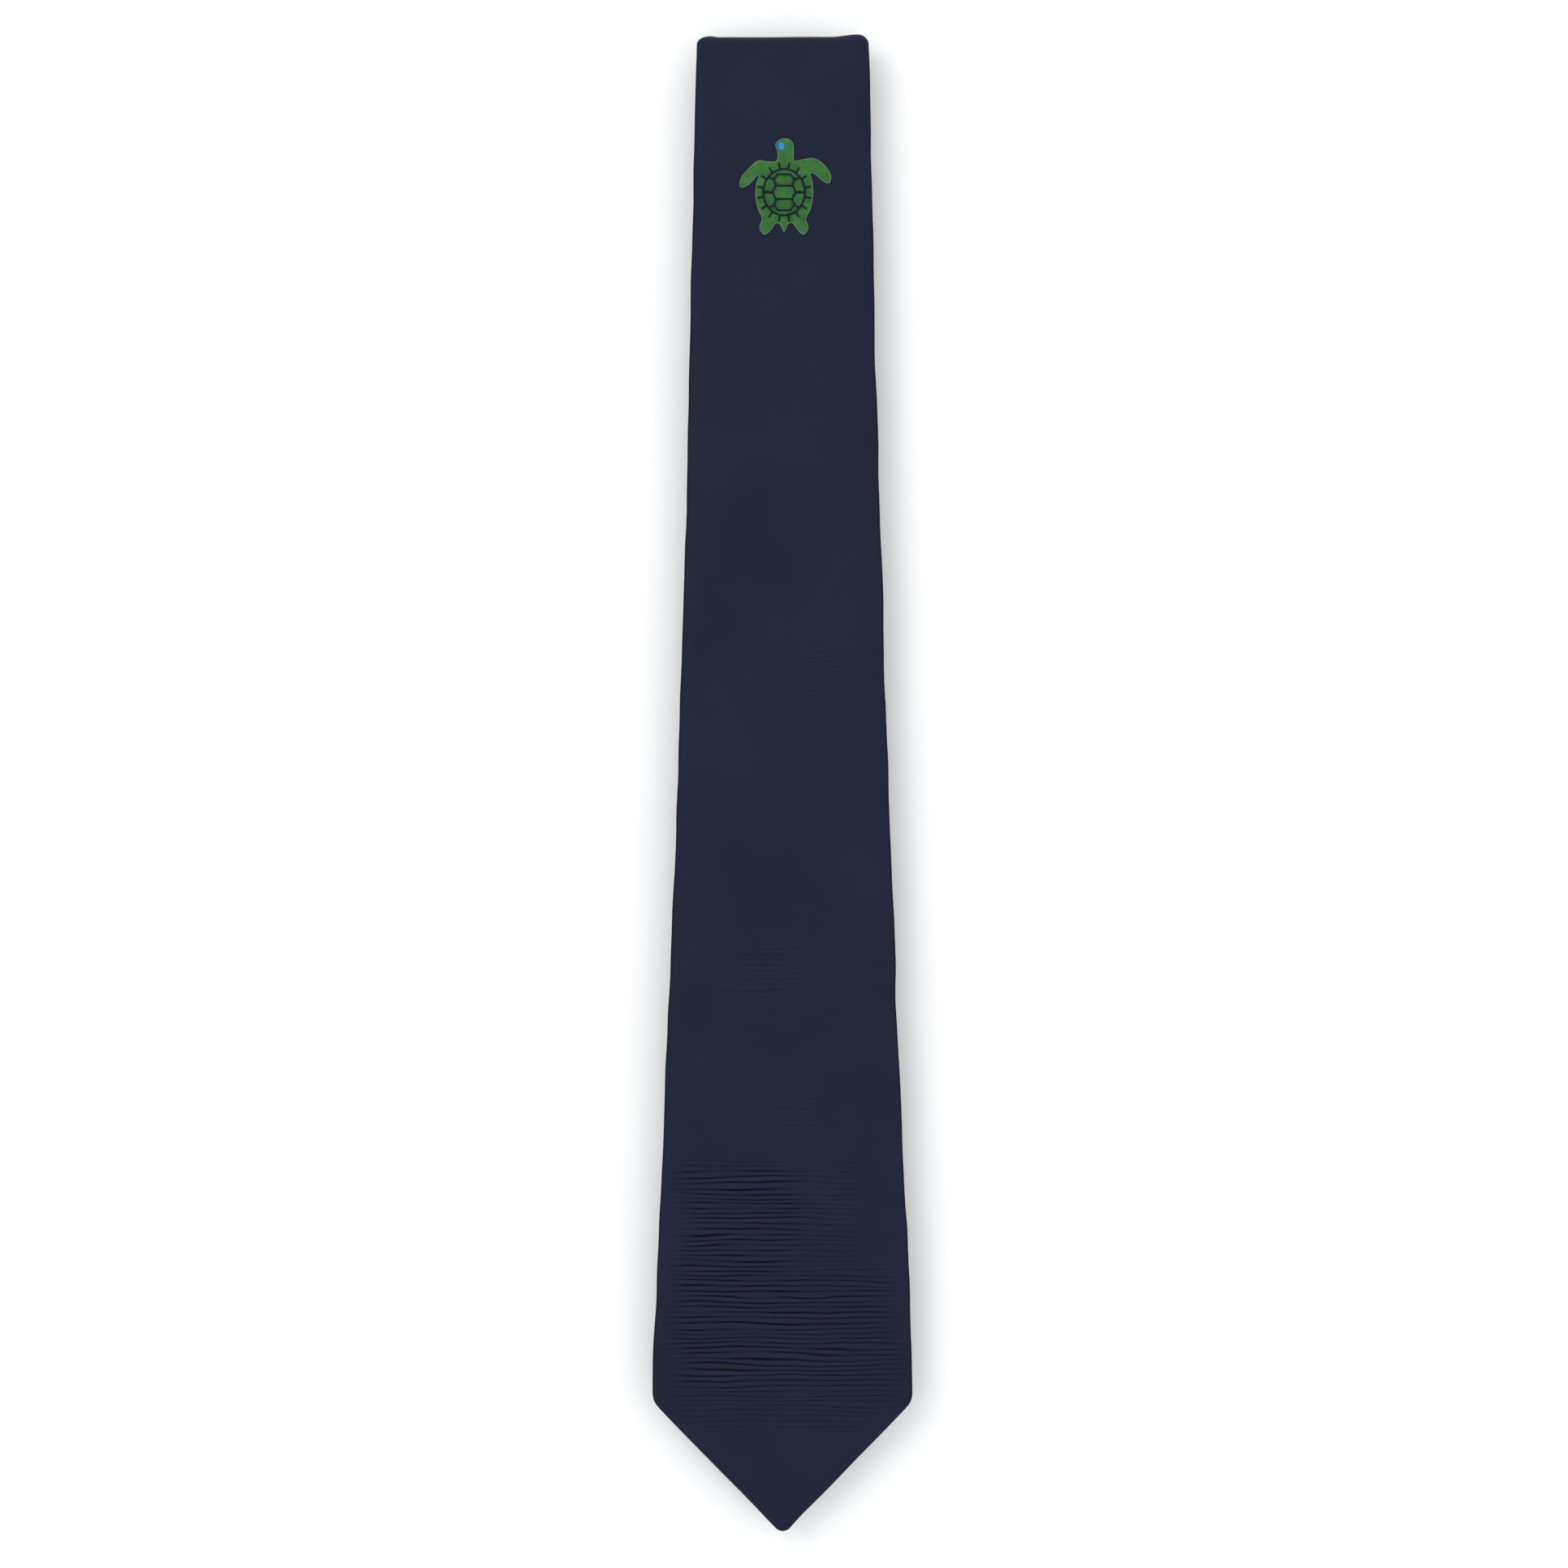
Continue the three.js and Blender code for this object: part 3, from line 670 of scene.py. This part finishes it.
def silk_piece(name, rows, shear, seams):
    """One cut of silk, wrapped round the tie. shear turns its ends onto the bias seams."""
    half = half_width(rows)
    edge_q = np.minimum(rows, TIE_LENGTH - rows)
    depth = LAYER / 2 * np.sqrt(np.clip(1 - (1 - np.clip(edge_q / POINT_THIN, 0.05, 1)) ** 2, 0.02, 1))
    for seam in seams:
        depth = depth * (1 - SEAM_PINCH * (1 - smooth(0, SEAM_REACH, np.abs(rows - seam))))
    right_x, right_n = section(half, flap_gap(rows), depth, roll_width(rows))
    x = np.concatenate([-right_x[:, :0:-1], right_x], 1)
    n = np.concatenate([right_n[:, :0:-1], right_n], 1)
    path_at = np.concatenate([-np.arange(right_x.shape[1])[:0:-1], np.arange(right_x.shape[1])])
    on_front = (np.abs(path_at) < FRONT_STEPS + ROLL_STEPS + 1)[None, :]
    s = rows[:, None] + shear[:, None] * x
    x = x * half_width(s) / half[:, None]
    near = half_width(s)
    side = np.sign(x)
    wobble = sum(height * ripple(side * SIDE_SHIFT, s, seed, size) for height, seed, size in EDGE_RIPPLES)
    calm = smooth(0, 6, edge_q)[:, None]
    x = x + side * smooth(0.55, 1.0, np.abs(x) / near) * wobble * calm
    x = x - side * smooth(0.6, 1.0, np.abs(x) / near) * fold_corner(s)
    on_blade = 1 - smooth(BLADE[1] - 12, BLADE[1] - 2, s)
    dome = CROWN * (1 - (np.abs(x) / near) ** 2) * smooth(3, 22, s)
    height, seed, length = SWELL
    swell = height * ripple(x, s, seed, length) * smooth(0, 8, near - np.abs(x)) * smooth(8, 26, s)
    n = n + on_front * (n > 0) * (dome + swell) * on_blade
    # the inner face of the cloth
    dx, dn = np.gradient(x, axis=1), np.gradient(n, axis=1)
    size = np.maximum(np.hypot(dx, dn), 1e-6)
    thick = np.minimum(CLOTH, 0.35 * depth)[:, None]
    inner_x, inner_n = x + dn / size * thick, n - dx / size * thick
    ring_x = np.concatenate([x, inner_x[:, ::-1]], 1)
    ring_n = np.concatenate([n, inner_n[:, ::-1]], 1)
    ring_s = np.concatenate([s, s[:, ::-1]], 1)
    points = placed(ring_x, ring_s, ring_n)
    lift = np.zeros_like(points)
    on_fold = (ring_s > TOP_FOLD[0]) & (ring_s < TOP_FOLD[1])
    fold_share = np.clip((ring_s - TOP_FOLD[0]) / (TOP_FOLD[1] - TOP_FOLD[0]), 0, 1)
    over = on_fold * np.sin(fold_share * math.pi)
    bulge = sum(height * np.exp(-(((ring_x - at) / wide) ** 2)) for height, at, wide in CORNER_BULGES)
    lift[..., 1] = over * (bulge + 0.1 + 0.08 * ripple(ring_x, 0 * ring_x, 31, 30))
    points = points + lift
    crease = crease_amount(x, s, near) * on_front * (n > 0.3)
    crease = np.concatenate([crease, 0 * crease], 1)
    faces = turned_outward(points.reshape(-1, 3), sheet_faces(len(rows), x.shape[1]))
    # Painted shade: a mask over the side edges, where the cloth rolls over; the silk material darkens them
    # with it.
    painted_edge_shade = smooth(0.62, 0.25, n / depth[:, None]) * smooth(-0.97, -0.6, n / depth[:, None])
    painted_edge_shade = np.concatenate([painted_edge_shade, 0 * painted_edge_shade], 1)
    uv = np.stack([ring_x, ring_s], -1).reshape(-1, 2)
    values = {"crease": crease, "painted_edge_shade": painted_edge_shade}
    return new_mesh(name, points.reshape(-1, 3), faces, silk, uv, values)


def steps(start, end, size):
    """Evenly spaced values from start to end, about size apart."""
    count = max(2, int(round((end - start) / size)) + 1)
    return np.linspace(start, end, count)


def rows_between(start, end):
    """Rows along the tie: close together at the points and round the folds."""
    marks = [0, 3, 30, 48, 120, 300]
    sizes = [0.2, 1.0, 0.6, 1.8, 3.0]
    parts = [steps(a, b, size) for a, b, size in zip(marks, marks[1:], sizes)]
    for begin, finish, _, _, _, radius in RUNS:
        if radius:
            parts.append(steps(begin - 8, begin, 1.0))
            parts.append(steps(begin, finish, radius * math.radians(7)))
            parts.append(steps(finish, finish + 8, 1.0))
    parts.append(steps(300, TIE_LENGTH - 60, 5.0))
    parts += [steps(TIE_LENGTH - 60, TIE_LENGTH - 26, 2.0), steps(TIE_LENGTH - 26, TIE_LENGTH - 18, 0.6)]
    parts += [steps(TIE_LENGTH - 18, TIE_LENGTH - 3, 1.0), steps(TIE_LENGTH - 3, TIE_LENGTH, 0.2)]
    margin = np.array([0, 0.4, 0.9, 1.6])
    parts += [start + margin, end - margin]
    rows = np.unique(np.round(np.concatenate(parts), 3))
    rows = rows[(rows >= start) & (rows <= end)]
    keep = np.concatenate([[True], np.diff(rows) > 0.12])
    return rows[keep]


UPPER_SEAM, LOWER_SEAM, SEAM_RAMP = 700.0, 1030.0, 90.0


def bias(rows):
    """The shear of each row, so that a row on a bias seam runs at 45 degrees to the tie."""
    first = 1 - smooth(0, SEAM_RAMP, np.abs(rows - UPPER_SEAM))
    second = 1 - smooth(0, SEAM_RAMP, np.abs(rows - LOWER_SEAM))
    return second - first


def across_fold(piece):
    """Bakes a piece's placement into its points."""
    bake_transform(piece)


# Each cut stops this far from the middle of its bias seam.
END = 0.03
SILKS = [
    ("blade_silk", 0, UPPER_SEAM - END, "top_fold", "front_blade", "upper_neck"),
    ("gusset_silk", UPPER_SEAM + END, LOWER_SEAM - END, "lower_fold", "upper_neck", "lower_neck"),
    ("tail_silk", LOWER_SEAM + END, TIE_LENGTH, "tail_fold", "lower_neck", "tail"),
]
# The parts of model.glb that each cut of silk replaces; they are hidden.
SILK_NODES = {
    "blade_silk": ("blade_shell", "top_fold_silk", "blade_silk_neck_end"),
    "gusset_silk": ("gusset_silk_upper", "lower_fold_silk", "gusset_silk_lower"),
    "tail_silk": ("tail_silk_neck_end", "tail_fold_silk", "tail_shell"),
}
# Flat cuts of silk with their turnings: width and length in metres, and area.
SILK_CUTS = {
    "blade_silk": (0.170, 0.700, 0.0852),
    "gusset_silk": (0.085, 0.366, 0.0235),
    "tail_silk": (0.104, 0.470, 0.0393),
}
for name, start, end, fold, first, second in SILKS:
    rows = rows_between(start, end)
    piece = silk_piece(name, rows, bias(rows), (UPPER_SEAM, LOWER_SEAM))
    across_fold(piece)
    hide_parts(*SILK_NODES[name])
    width, length, area = SILK_CUTS[name]

# ---------------------------------------------------------------- interlining and linings


def strip_piece(name, rows, half, low, high, material, columns=20, wave=0.0, seed=0):
    """A flat strip of cloth inside or behind the tie, between two heights n."""
    t = np.linspace(-1, 1, columns)[None, :]
    x = half[:, None] * t
    s = rows[:, None] + 0 * x
    top = (high[:, None] if np.ndim(high) else high) + 0 * x
    bottom = (low[:, None] if np.ndim(low) else low) + 0 * x
    if wave:
        shift = wave * ripple(x, s, seed, 18)
        top, bottom = top + shift, bottom + shift
    x_ring = np.concatenate([x, x[:, ::-1]], 1)
    n_ring = np.concatenate([bottom, top[:, ::-1]], 1)
    s_ring = np.concatenate([s, s], 1)
    points = placed(x_ring, s_ring, n_ring).reshape(-1, 3)
    faces = turned_outward(points, sheet_faces(len(rows), columns))
    uv = np.stack([x_ring, s_ring], -1).reshape(-1, 2)
    return new_mesh(name, points, faces, material, uv)


WOOL_HALF = 0.55
CANVASES = [
    ("blade_canvas", 5.0, 640.0, "top_fold", "front_blade", "upper_neck", (0.078, 0.635, 0.0352)),
    ("neck_canvas", 640.4, 1100.0, "lower_fold", "upper_neck", "lower_neck", (0.038, 0.46, 0.0143)),
    ("tail_canvas", 1100.4, 1475.0, "tail_fold", "lower_neck", "tail", (0.044, 0.375, 0.0133)),
]
CANVAS_NODES = {
    "blade_canvas": ("blade_interlining", "top_fold_interlining", "upper_neck_interlining"),
    "neck_canvas": ("upper_neck_interlining", "lower_fold_interlining", "lower_neck_interlining"),
    "tail_canvas": ("lower_neck_interlining", "tail_fold_interlining", "tail_interlining"),
}
for name, start, end, fold, first, second, cut in CANVASES:
    rows = rows_between(start, end)
    half = np.maximum(half_width(rows) - 3.2, 0.8)
    piece = strip_piece(name, rows, half, -WOOL_HALF, WOOL_HALF, canvas, columns=14)
    across_fold(piece)
    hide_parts(*CANVAS_NODES[name])


def opening_lining(name, opening, from_point, body, node):
    hem, top = opening["hem"], opening["top"]
    q = steps(hem - 2, top + 2, 1.5)
    half = np.maximum(opening_half(q, opening) + 1.6, 1.6)
    rows = q if from_point > 0 else np.sort(TIE_LENGTH - q)
    if from_point < 0:
        half = half[::-1]
    piece = strip_piece(name, rows, half, -0.74, -0.58, lining_silk, columns=24)
    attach(piece, body)
    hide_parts(node)
    return piece


opening_lining("blade_lining", OPENINGS["blade"], 1, "front_blade", "blade_tipping")
opening_lining("tail_lining", OPENINGS["tail"], -1, "tail", "tail_tipping")

# ---------------------------------------------------------------- threads, loop and labels


def thread_piece(name, parts, material, body, node):
    points, faces = joined(parts)
    piece = new_mesh(name, points, faces, material, values={"thread": np.full(len(points), 0.5)})
    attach(piece, body)
    if node:
        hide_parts(node)
    return piece


def stitch(x0, s0, x1, s1, low, lift, radius=0.17, count=7):
    """A short thread from one place to another, arched off the cloth by lift along n."""
    t = np.linspace(0, 1, count)
    path = placed(x0 + (x1 - x0) * t, s0 + (s1 - s0) * t, low + lift * np.sin(math.pi * t))
    return tube(path, radius, 6)


BACK = -LAYER / 2
STITCH_PITCH = 6.0
SEAM_STITCH_HALF = 0.75
SEAM_STITCH_LENGTH = 3.4
# Each seam thread stops this far from a fold.
INSET = 6
SEAMS = [
    ("blade_seam_thread", 136, BLADE[1] - INSET, "front_blade", "blade_slip_stitch"),
    ("upper_seam_thread", UPPER[0] + INSET, UPPER[1] - INSET, "upper_neck", "upper_neck_slip_stitch"),
    ("lower_seam_thread", LOWER[0] + INSET, LOWER[1] - INSET, "lower_neck", "lower_neck_slip_stitch"),
    ("tail_seam_thread", TAIL[0] + INSET, TIE_LENGTH - 81, "tail", "tail_slip_stitch"),
]
for name, start, end, body, node in SEAMS:
    count = int((end - start) // STITCH_PITCH)
    parts = []
    for k in range(count):
        at = start + k * STITCH_PITCH
        side = 1 if k % 2 else -1
        half = SEAM_STITCH_HALF * side
        parts.append(stitch(-half, at, half, at + SEAM_STITCH_LENGTH, BACK + 0.12, lift=-0.22, radius=0.14))
    thread_piece(name, parts, navy_thread, body, node)


TACK_THREADS = 7
TACK_CROSSINGS = 6


def bar_tack(name, middle, width, length, body, node):
    """A short bar of threads across the back seam, bound by crossing threads."""
    parts = []
    half, reach = width / 2, length * 0.75
    for k in range(TACK_THREADS):
        at = middle + (k / (TACK_THREADS - 1) - 0.5) * length
        parts.append(stitch(-half, at, half, at + 0.05, BACK + 0.05, lift=-0.32, radius=0.14, count=9))
    for k in range(TACK_CROSSINGS):
        x = (k / (TACK_CROSSINGS - 1) - 0.5) * 0.8 * width
        parts.append(stitch(x, middle - reach, x, middle + reach, BACK, lift=-0.5, radius=0.13))
    return thread_piece(name, parts, navy_thread, body, node)


bar_tack("blade_tack", 131.7, 7.0, 1.4, "front_blade", "blade_bar_tack")
bar_tack("tail_tack", TIE_LENGTH - 76.5, 5.0, 1.1, "tail", "tail_bar_tack")

KEEPER_START = 206.0
KEEPER_WIDTH = 14.0
KEEPER_HALF = 24
KEEPER_STAND = 1.2
KEEPER_FOOT = 0.1
KEEPER_THICK = 0.46


def keeper_loop():
    """The band of the tie's own silk, sewn down at its ends and bowed off the back between them."""
    left, right = steps(-KEEPER_HALF, -16, 0.5), steps(16, KEEPER_HALF, 0.5)
    x = np.concatenate([left, steps(-16, 16, 2.0)[1:-1], right])
    bow = smooth(KEEPER_HALF - 5, KEEPER_HALF - 9.5, np.abs(x))
    off = KEEPER_FOOT + (KEEPER_STAND - KEEPER_FOOT) * bow + 0.12 * bow * np.cos(x / 15 * math.pi / 2)
    t = np.linspace(0, 2 * math.pi, 28, endpoint=False)
    run = np.sign(np.cos(t)) * np.abs(np.cos(t)) ** 0.35
    rise = np.sin(t)
    middle = KEEPER_START + KEEPER_WIDTH / 2
    waist = 1 - 0.02 * bow[:, None]
    s = middle + run[None, :] * KEEPER_WIDTH / 2 * waist
    n = BACK - off[:, None] - KEEPER_THICK / 2 + rise[None, :] * KEEPER_THICK / 2
    xs = x[:, None] + 0 * s
    points = placed(xs, s, n).reshape(-1, 3)
    faces = turned_outward(points, ring_faces(len(x), len(t)))
    uv = np.stack([s - middle, xs + 600], -1).reshape(-1, 2)
    piece = new_mesh("keeper_band", points, faces, silk, uv, {"crease": np.zeros(len(points))})
    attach(piece, "front_blade")
    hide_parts("keeper_loop")
    return piece


keeper_loop()


def dashes_along(x, start, end, count, low, lift):
    pitch = (end - start) / count
    starts = [start + k * pitch for k in range(count)]
    ends = [start + (k + 0.62) * pitch for k in range(count)]
    return [stitch(x, a, x, b, low, lift, 0.15) for a, b in zip(starts, ends)]


keeper_back = BACK - KEEPER_FOOT - KEEPER_THICK
for side, word in ((-1, "left"), (1, "right")):
    parts = dashes_along(side * 21.5, 207.2, 218.8, 6, keeper_back + 0.06, -0.2)
    node = f"keeper_stitch_{word}"
    thread_piece(f"keeper_thread_{word}", parts, navy_thread, "front_blade", node)

LABEL = {"from": 238.0, "to": 262.0, "half": 21.0}
label_satin = label_material("label_satin", (0.013, 0.016, 0.038), (0.10, 0.12, 0.20), 21, 250, 12)
care_satin = label_material("care_satin", (0.66, 0.65, 0.60))
rows = steps(LABEL["from"], LABEL["to"], 0.75)
flat = np.full(len(rows), LABEL["half"])
low, high = BACK - 0.42, BACK - 0.16
label = strip_piece("maker_label", rows, flat, low, high, label_satin, columns=40, wave=0.05, seed=5)
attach(label, "front_blade")
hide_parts("woven_label")
for side, word in ((-1, "left"), (1, "right")):
    parts = dashes_along(side * 19.8, 239, 261, 11, BACK - 0.38, -0.2)
    node = f"label_stitch_{word}"
    thread_piece(f"label_thread_{word}", parts, navy_thread, "front_blade", node)

CARE = {"from": 268.0, "to": 300.0, "half": 9.0}
rows = steps(CARE["from"], CARE["to"], 0.8)
flat = np.full(len(rows), CARE["half"])
rise = 0.75 * smooth(CARE["from"] + 4, CARE["to"], rows)
low, high = BACK - 0.36 - rise, BACK - 0.14 - rise
care = strip_piece("care_tag", rows, flat, low, high, care_satin, columns=18, wave=0.04, seed=6)
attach(care, "front_blade")
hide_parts("care_label")
parts = []
for k in range(8):
    x = -8 + k * 2.0
    parts.append(stitch(x, 269.7, x + 1.2, 269.8, BACK - 0.32, lift=-0.2, radius=0.13))
thread_piece("care_thread", parts, care_thread, "front_blade", "care_label_stitch")

# ---------------------------------------------------------------- the embroidered turtle

body_low, body_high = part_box("turtle_carapace")
TURTLE_X = (body_low.x + body_high.x) / 2 / MM
TURTLE_Y = (body_low.y + body_high.y) / 2 / MM
SILK_TOP = layer_z[0] + LAYER / 2 + CROWN
SHELL = (7.4, 8.2)
EYE = (-0.9, 14.2)
OUTLINE = [
    (0, -12),
    (1, -9.8),
    (2.6, -9.3),
    (4.2, -11.4),
    (6, -12.8),
    (7.3, -10.8),
    (6.6, -8),
    (8, -5),
    (8.8, -0.5),
    (8.5, 3.5),
    (7.9, 6),
    (9.4, 5.8),
    (11.8, 3.8),
    (13.7, 2.9),
    (14.3, 5),
    (12.6, 8),
    (9.4, 10.3),
    (6.2, 10.1),
    (3.1, 9.6),
    (2.8, 12.4),
    (2.6, 15),
    (1.2, 16.3),
    (-1, 16.2),
    (-2.5, 14.8),
    (-1.9, 12.8),
    (-1.8, 10.8),
    (-2.6, 9.4),
    (-5.2, 9.4),
    (-8, 9.6),
    (-11, 7),
    (-13.2, 4.2),
    (-13.3, 1.7),
    (-11, 2.5),
    (-8.6, 5),
    (-7.6, 5.2),
    (-8.4, 2.5),
    (-8.7, -1),
    (-7.9, -5),
    (-6.7, -8),
    (-7.4, -10.8),
    (-6.1, -12.8),
    (-4.3, -11.6),
    (-2.6, -9.4),
    (-1, -9.8),
]
# Where each part's stitches run, as a middle point and the direction across the threads.
STITCH_FIELDS = [
    ((0, 14), 90),
    ((10.5, 7), 35),
    ((-10.5, 6), 150),
    ((5.6, -10.5), 120),
    ((-5.6, -10.5), 60),
    ((0, -11), 0),
    ((0, 0), 78),
]
# How far apart the threads of the stitches lie.
THREAD = 0.36


def closed_curve(points, count=6):
    """A smooth closed curve through points."""
    p = np.array(points, float)
    out = []
    for k in range(len(p)):
        a, b, c, d = p[k - 1], p[k], p[(k + 1) % len(p)], p[(k + 2) % len(p)]
        for i in range(count):
            t = i / count
            squared = (2 * a - 5 * b + 4 * c - d) * t * t
            cubed = (3 * b - a - 3 * c + d) * t**3
            out.append(0.5 * (2 * b + (c - a) * t + squared + cubed))
    return np.array(out)


def inside(points, outline):
    """Whether each point lies inside a closed outline."""
    x, y = points[:, 0:1], points[:, 1:2]
    ax, ay = outline[:, 0], outline[:, 1]
    bx, by = np.roll(ax, -1), np.roll(ay, -1)
    straddles = (ay > y) != (by > y)
    crossing = ax + (y - ay) * (bx - ax) / np.where(by == ay, 1e-9, by - ay)
    return (straddles & (x < crossing)).sum(1) % 2 == 1


def edge_distance(points, outline):
    """How far each point lies from a closed outline."""
    a, b = outline, np.roll(outline, -1, 0)
    ab = b - a
    t = ((points[:, None] - a) * ab).sum(-1) / (ab * ab).sum(-1)
    nearest = a + np.clip(t, 0, 1)[..., None] * ab
    return np.linalg.norm(points[:, None] - nearest, axis=-1).min(1)


def motif(name, outline, base, height, edge, material, node, fields, pitch=0.42):
    """A raised patch of satin stitches: a mesh inside the outline, domed from its edge."""
    low, high = outline.min(0), outline.max(0)
    gx, gy = np.meshgrid(np.arange(low[0], high[0], pitch), np.arange(low[1], high[1], pitch * 0.866))
    gx = gx + (np.arange(gx.shape[0]) % 2)[:, None] * pitch / 2
    grid = np.stack([gx.ravel(), gy.ravel()], -1)
    grid = grid[inside(grid, outline)]
    grid = grid[edge_distance(grid, outline) > 0.45 * pitch]
    count = len(outline)
    edges = [(i, (i + 1) % count) for i in range(count)]
    everything = np.concatenate([outline, grid])
    flat_points, _, triangles, *_ = delaunay_2d_cdt([Vector(p) for p in everything], edges, [], 1, 1e-5)
    xy = np.array([tuple(p) for p in flat_points])
    d = np.where(np.arange(len(xy)) < count, 0, edge_distance(xy, outline))
    centres = np.array([f[0] for f in fields], float)
    choice = np.linalg.norm(xy[:, None] - centres, axis=-1).argmin(1)
    angle = np.radians(np.array([f[1] for f in fields], float))[choice]
    thread = (xy[:, 0] * np.cos(angle) + xy[:, 1] * np.sin(angle)) / THREAD + 200
    z = base + height * (1 - np.exp(-d / edge))
    top = np.stack([xy[:, 0] + TURTLE_X, xy[:, 1] + TURTLE_Y, z], -1)
    skirt = top[:count].copy()
    skirt[:, 2] = base - 0.25
    points = np.concatenate([top, skirt])
    faces = [list(t) for t in triangles]
    flipped = np.cross(xy[faces[0][1]] - xy[faces[0][0]], xy[faces[0][2]] - xy[faces[0][0]]) < 0
    faces = [f[::-1] for f in faces] if flipped else faces
    under = len(top)
    turn = (outline[:, 0] * np.roll(outline[:, 1], -1) - outline[:, 1] * np.roll(outline[:, 0], -1)).sum() > 0
    for i in range(count):
        j = (i + 1) % count
        wall = [i, under + i, under + j, j] if turn else [j, under + j, under + i, i]
        faces.append(wall)
    faces.append([under + i for i in range(count)][:: -1 if turn else 1])
    value = np.concatenate([thread, thread[:count]])
    piece = new_mesh(name, points, faces, material, values={"thread": value})
    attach(piece, "front_blade")
    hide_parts(node)
    return piece


def surface_path(points, z):
    p = np.asarray(points, float)
    return np.stack([p[:, 0] + TURTLE_X, p[:, 1] + TURTLE_Y, np.broadcast_to(z, len(p))], -1)


turtle_line = closed_curve(OUTLINE)
motif(
    "turtle_stitches",
    turtle_line,
    base=SILK_TOP,
    height=0.42,
    edge=0.5,
    material=green_thread,
    node="turtle_body",
    fields=STITCH_FIELDS,
)
around = np.linspace(0, 2 * math.pi, 64, endpoint=False)
shell_line = np.stack([SHELL[0] * np.cos(around), SHELL[1] * np.sin(around)], -1)
SHELL_FIELDS = [
    ((0, 0), 0),
    ((0, 5.2), 0),
    ((0, -5.2), 0),
    ((5, 2), 60),
    ((-5, 2), 120),
    ((5, -2.5), 120),
    ((-5, -2.5), 60),
]
SHELL_BASE = SILK_TOP + 0.36
SHELL_HEIGHT, SHELL_EDGE = 0.5, 1.6
motif(
    "turtle_shell",
    shell_line,
    base=SHELL_BASE,
    height=SHELL_HEIGHT,
    edge=SHELL_EDGE,
    material=shell_thread,
    node="turtle_carapace",
    fields=SHELL_FIELDS,
)
eye_line = np.stack([EYE[0] + 1.0 * np.cos(around[::2]), EYE[1] + 1.2 * np.sin(around[::2])], -1)
motif(
    "turtle_eye_stitches",
    eye_line,
    base=SILK_TOP + 0.4,
    height=0.28,
    edge=0.4,
    material=blue_thread,
    node="turtle_eye",
    fields=[(EYE, 90)],
    pitch=0.3,
)
# The raised cord round the turtle, in the paler edge thread, whose paleness is a painted highlight.
rim = surface_path(turtle_line, SILK_TOP + 0.1)
rim_points, rim_faces = tube(rim, 0.2, 8, closed=True)
thread_piece("turtle_edge", [(rim_points, rim_faces)], edge_thread, "front_blade", None)


def shell_height(points):
    p = np.asarray(points, float)
    d = edge_distance(p, shell_line)
    d = np.where(inside(p, shell_line), d, 0)
    return SHELL_BASE + SHELL_HEIGHT * (1 - np.exp(-d / SHELL_EDGE))


# The plates of the shell, as lines between their corners: three down the middle, two on each side of
# them, one at each end, and the small plates of the rim.
RIM_PLATES = 16
RIM_INNER, RIM_OUTER = 0.87, 1.12
SCUTES = [
    [(-2.6, 2.0), (2.6, 2.0), (3.6, 0), (2.5, -2.1), (-2.5, -2.1), (-3.6, 0), (-2.6, 2.0)],
    [(-2.6, 2.0), (-3.2, 3.9), (-2.0, 5.5), (2.0, 5.5), (3.2, 3.9), (2.6, 2.0)],
    [(-2.5, -2.1), (-3.1, -4.0), (-1.9, -5.6), (1.9, -5.6), (3.1, -4.0), (2.5, -2.1)],
]
for side in (-1, 1):
    SCUTES += [
        [(side * 3.6, 0), (side * 6.4, 0.1)],
        [(side * 3.2, 3.9), (side * 4.9, 4.6)],
        [(side * 3.1, -4.0), (side * 4.8, -4.8)],
    ]


def rim_point(angle, share):
    return (share * SHELL[0] * math.cos(angle), share * SHELL[1] * math.sin(angle))


SCUTES.append([rim_point(a, RIM_INNER) for a in np.linspace(0, 2 * math.pi, 29)])
for k in range(RIM_PLATES):
    a = 2 * math.pi * (k + 0.5) / RIM_PLATES
    SCUTES.append([rim_point(a, RIM_INNER), rim_point(a, RIM_OUTER)])
parts = []
for line in SCUTES:
    corners = np.array(line, float)
    share = np.linspace(0, 1, 6)[:-1, None]
    runs = [a + (b - a) * share for a, b in zip(corners, corners[1:])]
    path = np.concatenate([*runs, corners[-1:]])
    parts.append(tube(surface_path(path, shell_height(path) + 0.05), 0.3, 6))
thread_piece("turtle_scutes", parts, mark_thread, "front_blade", None)
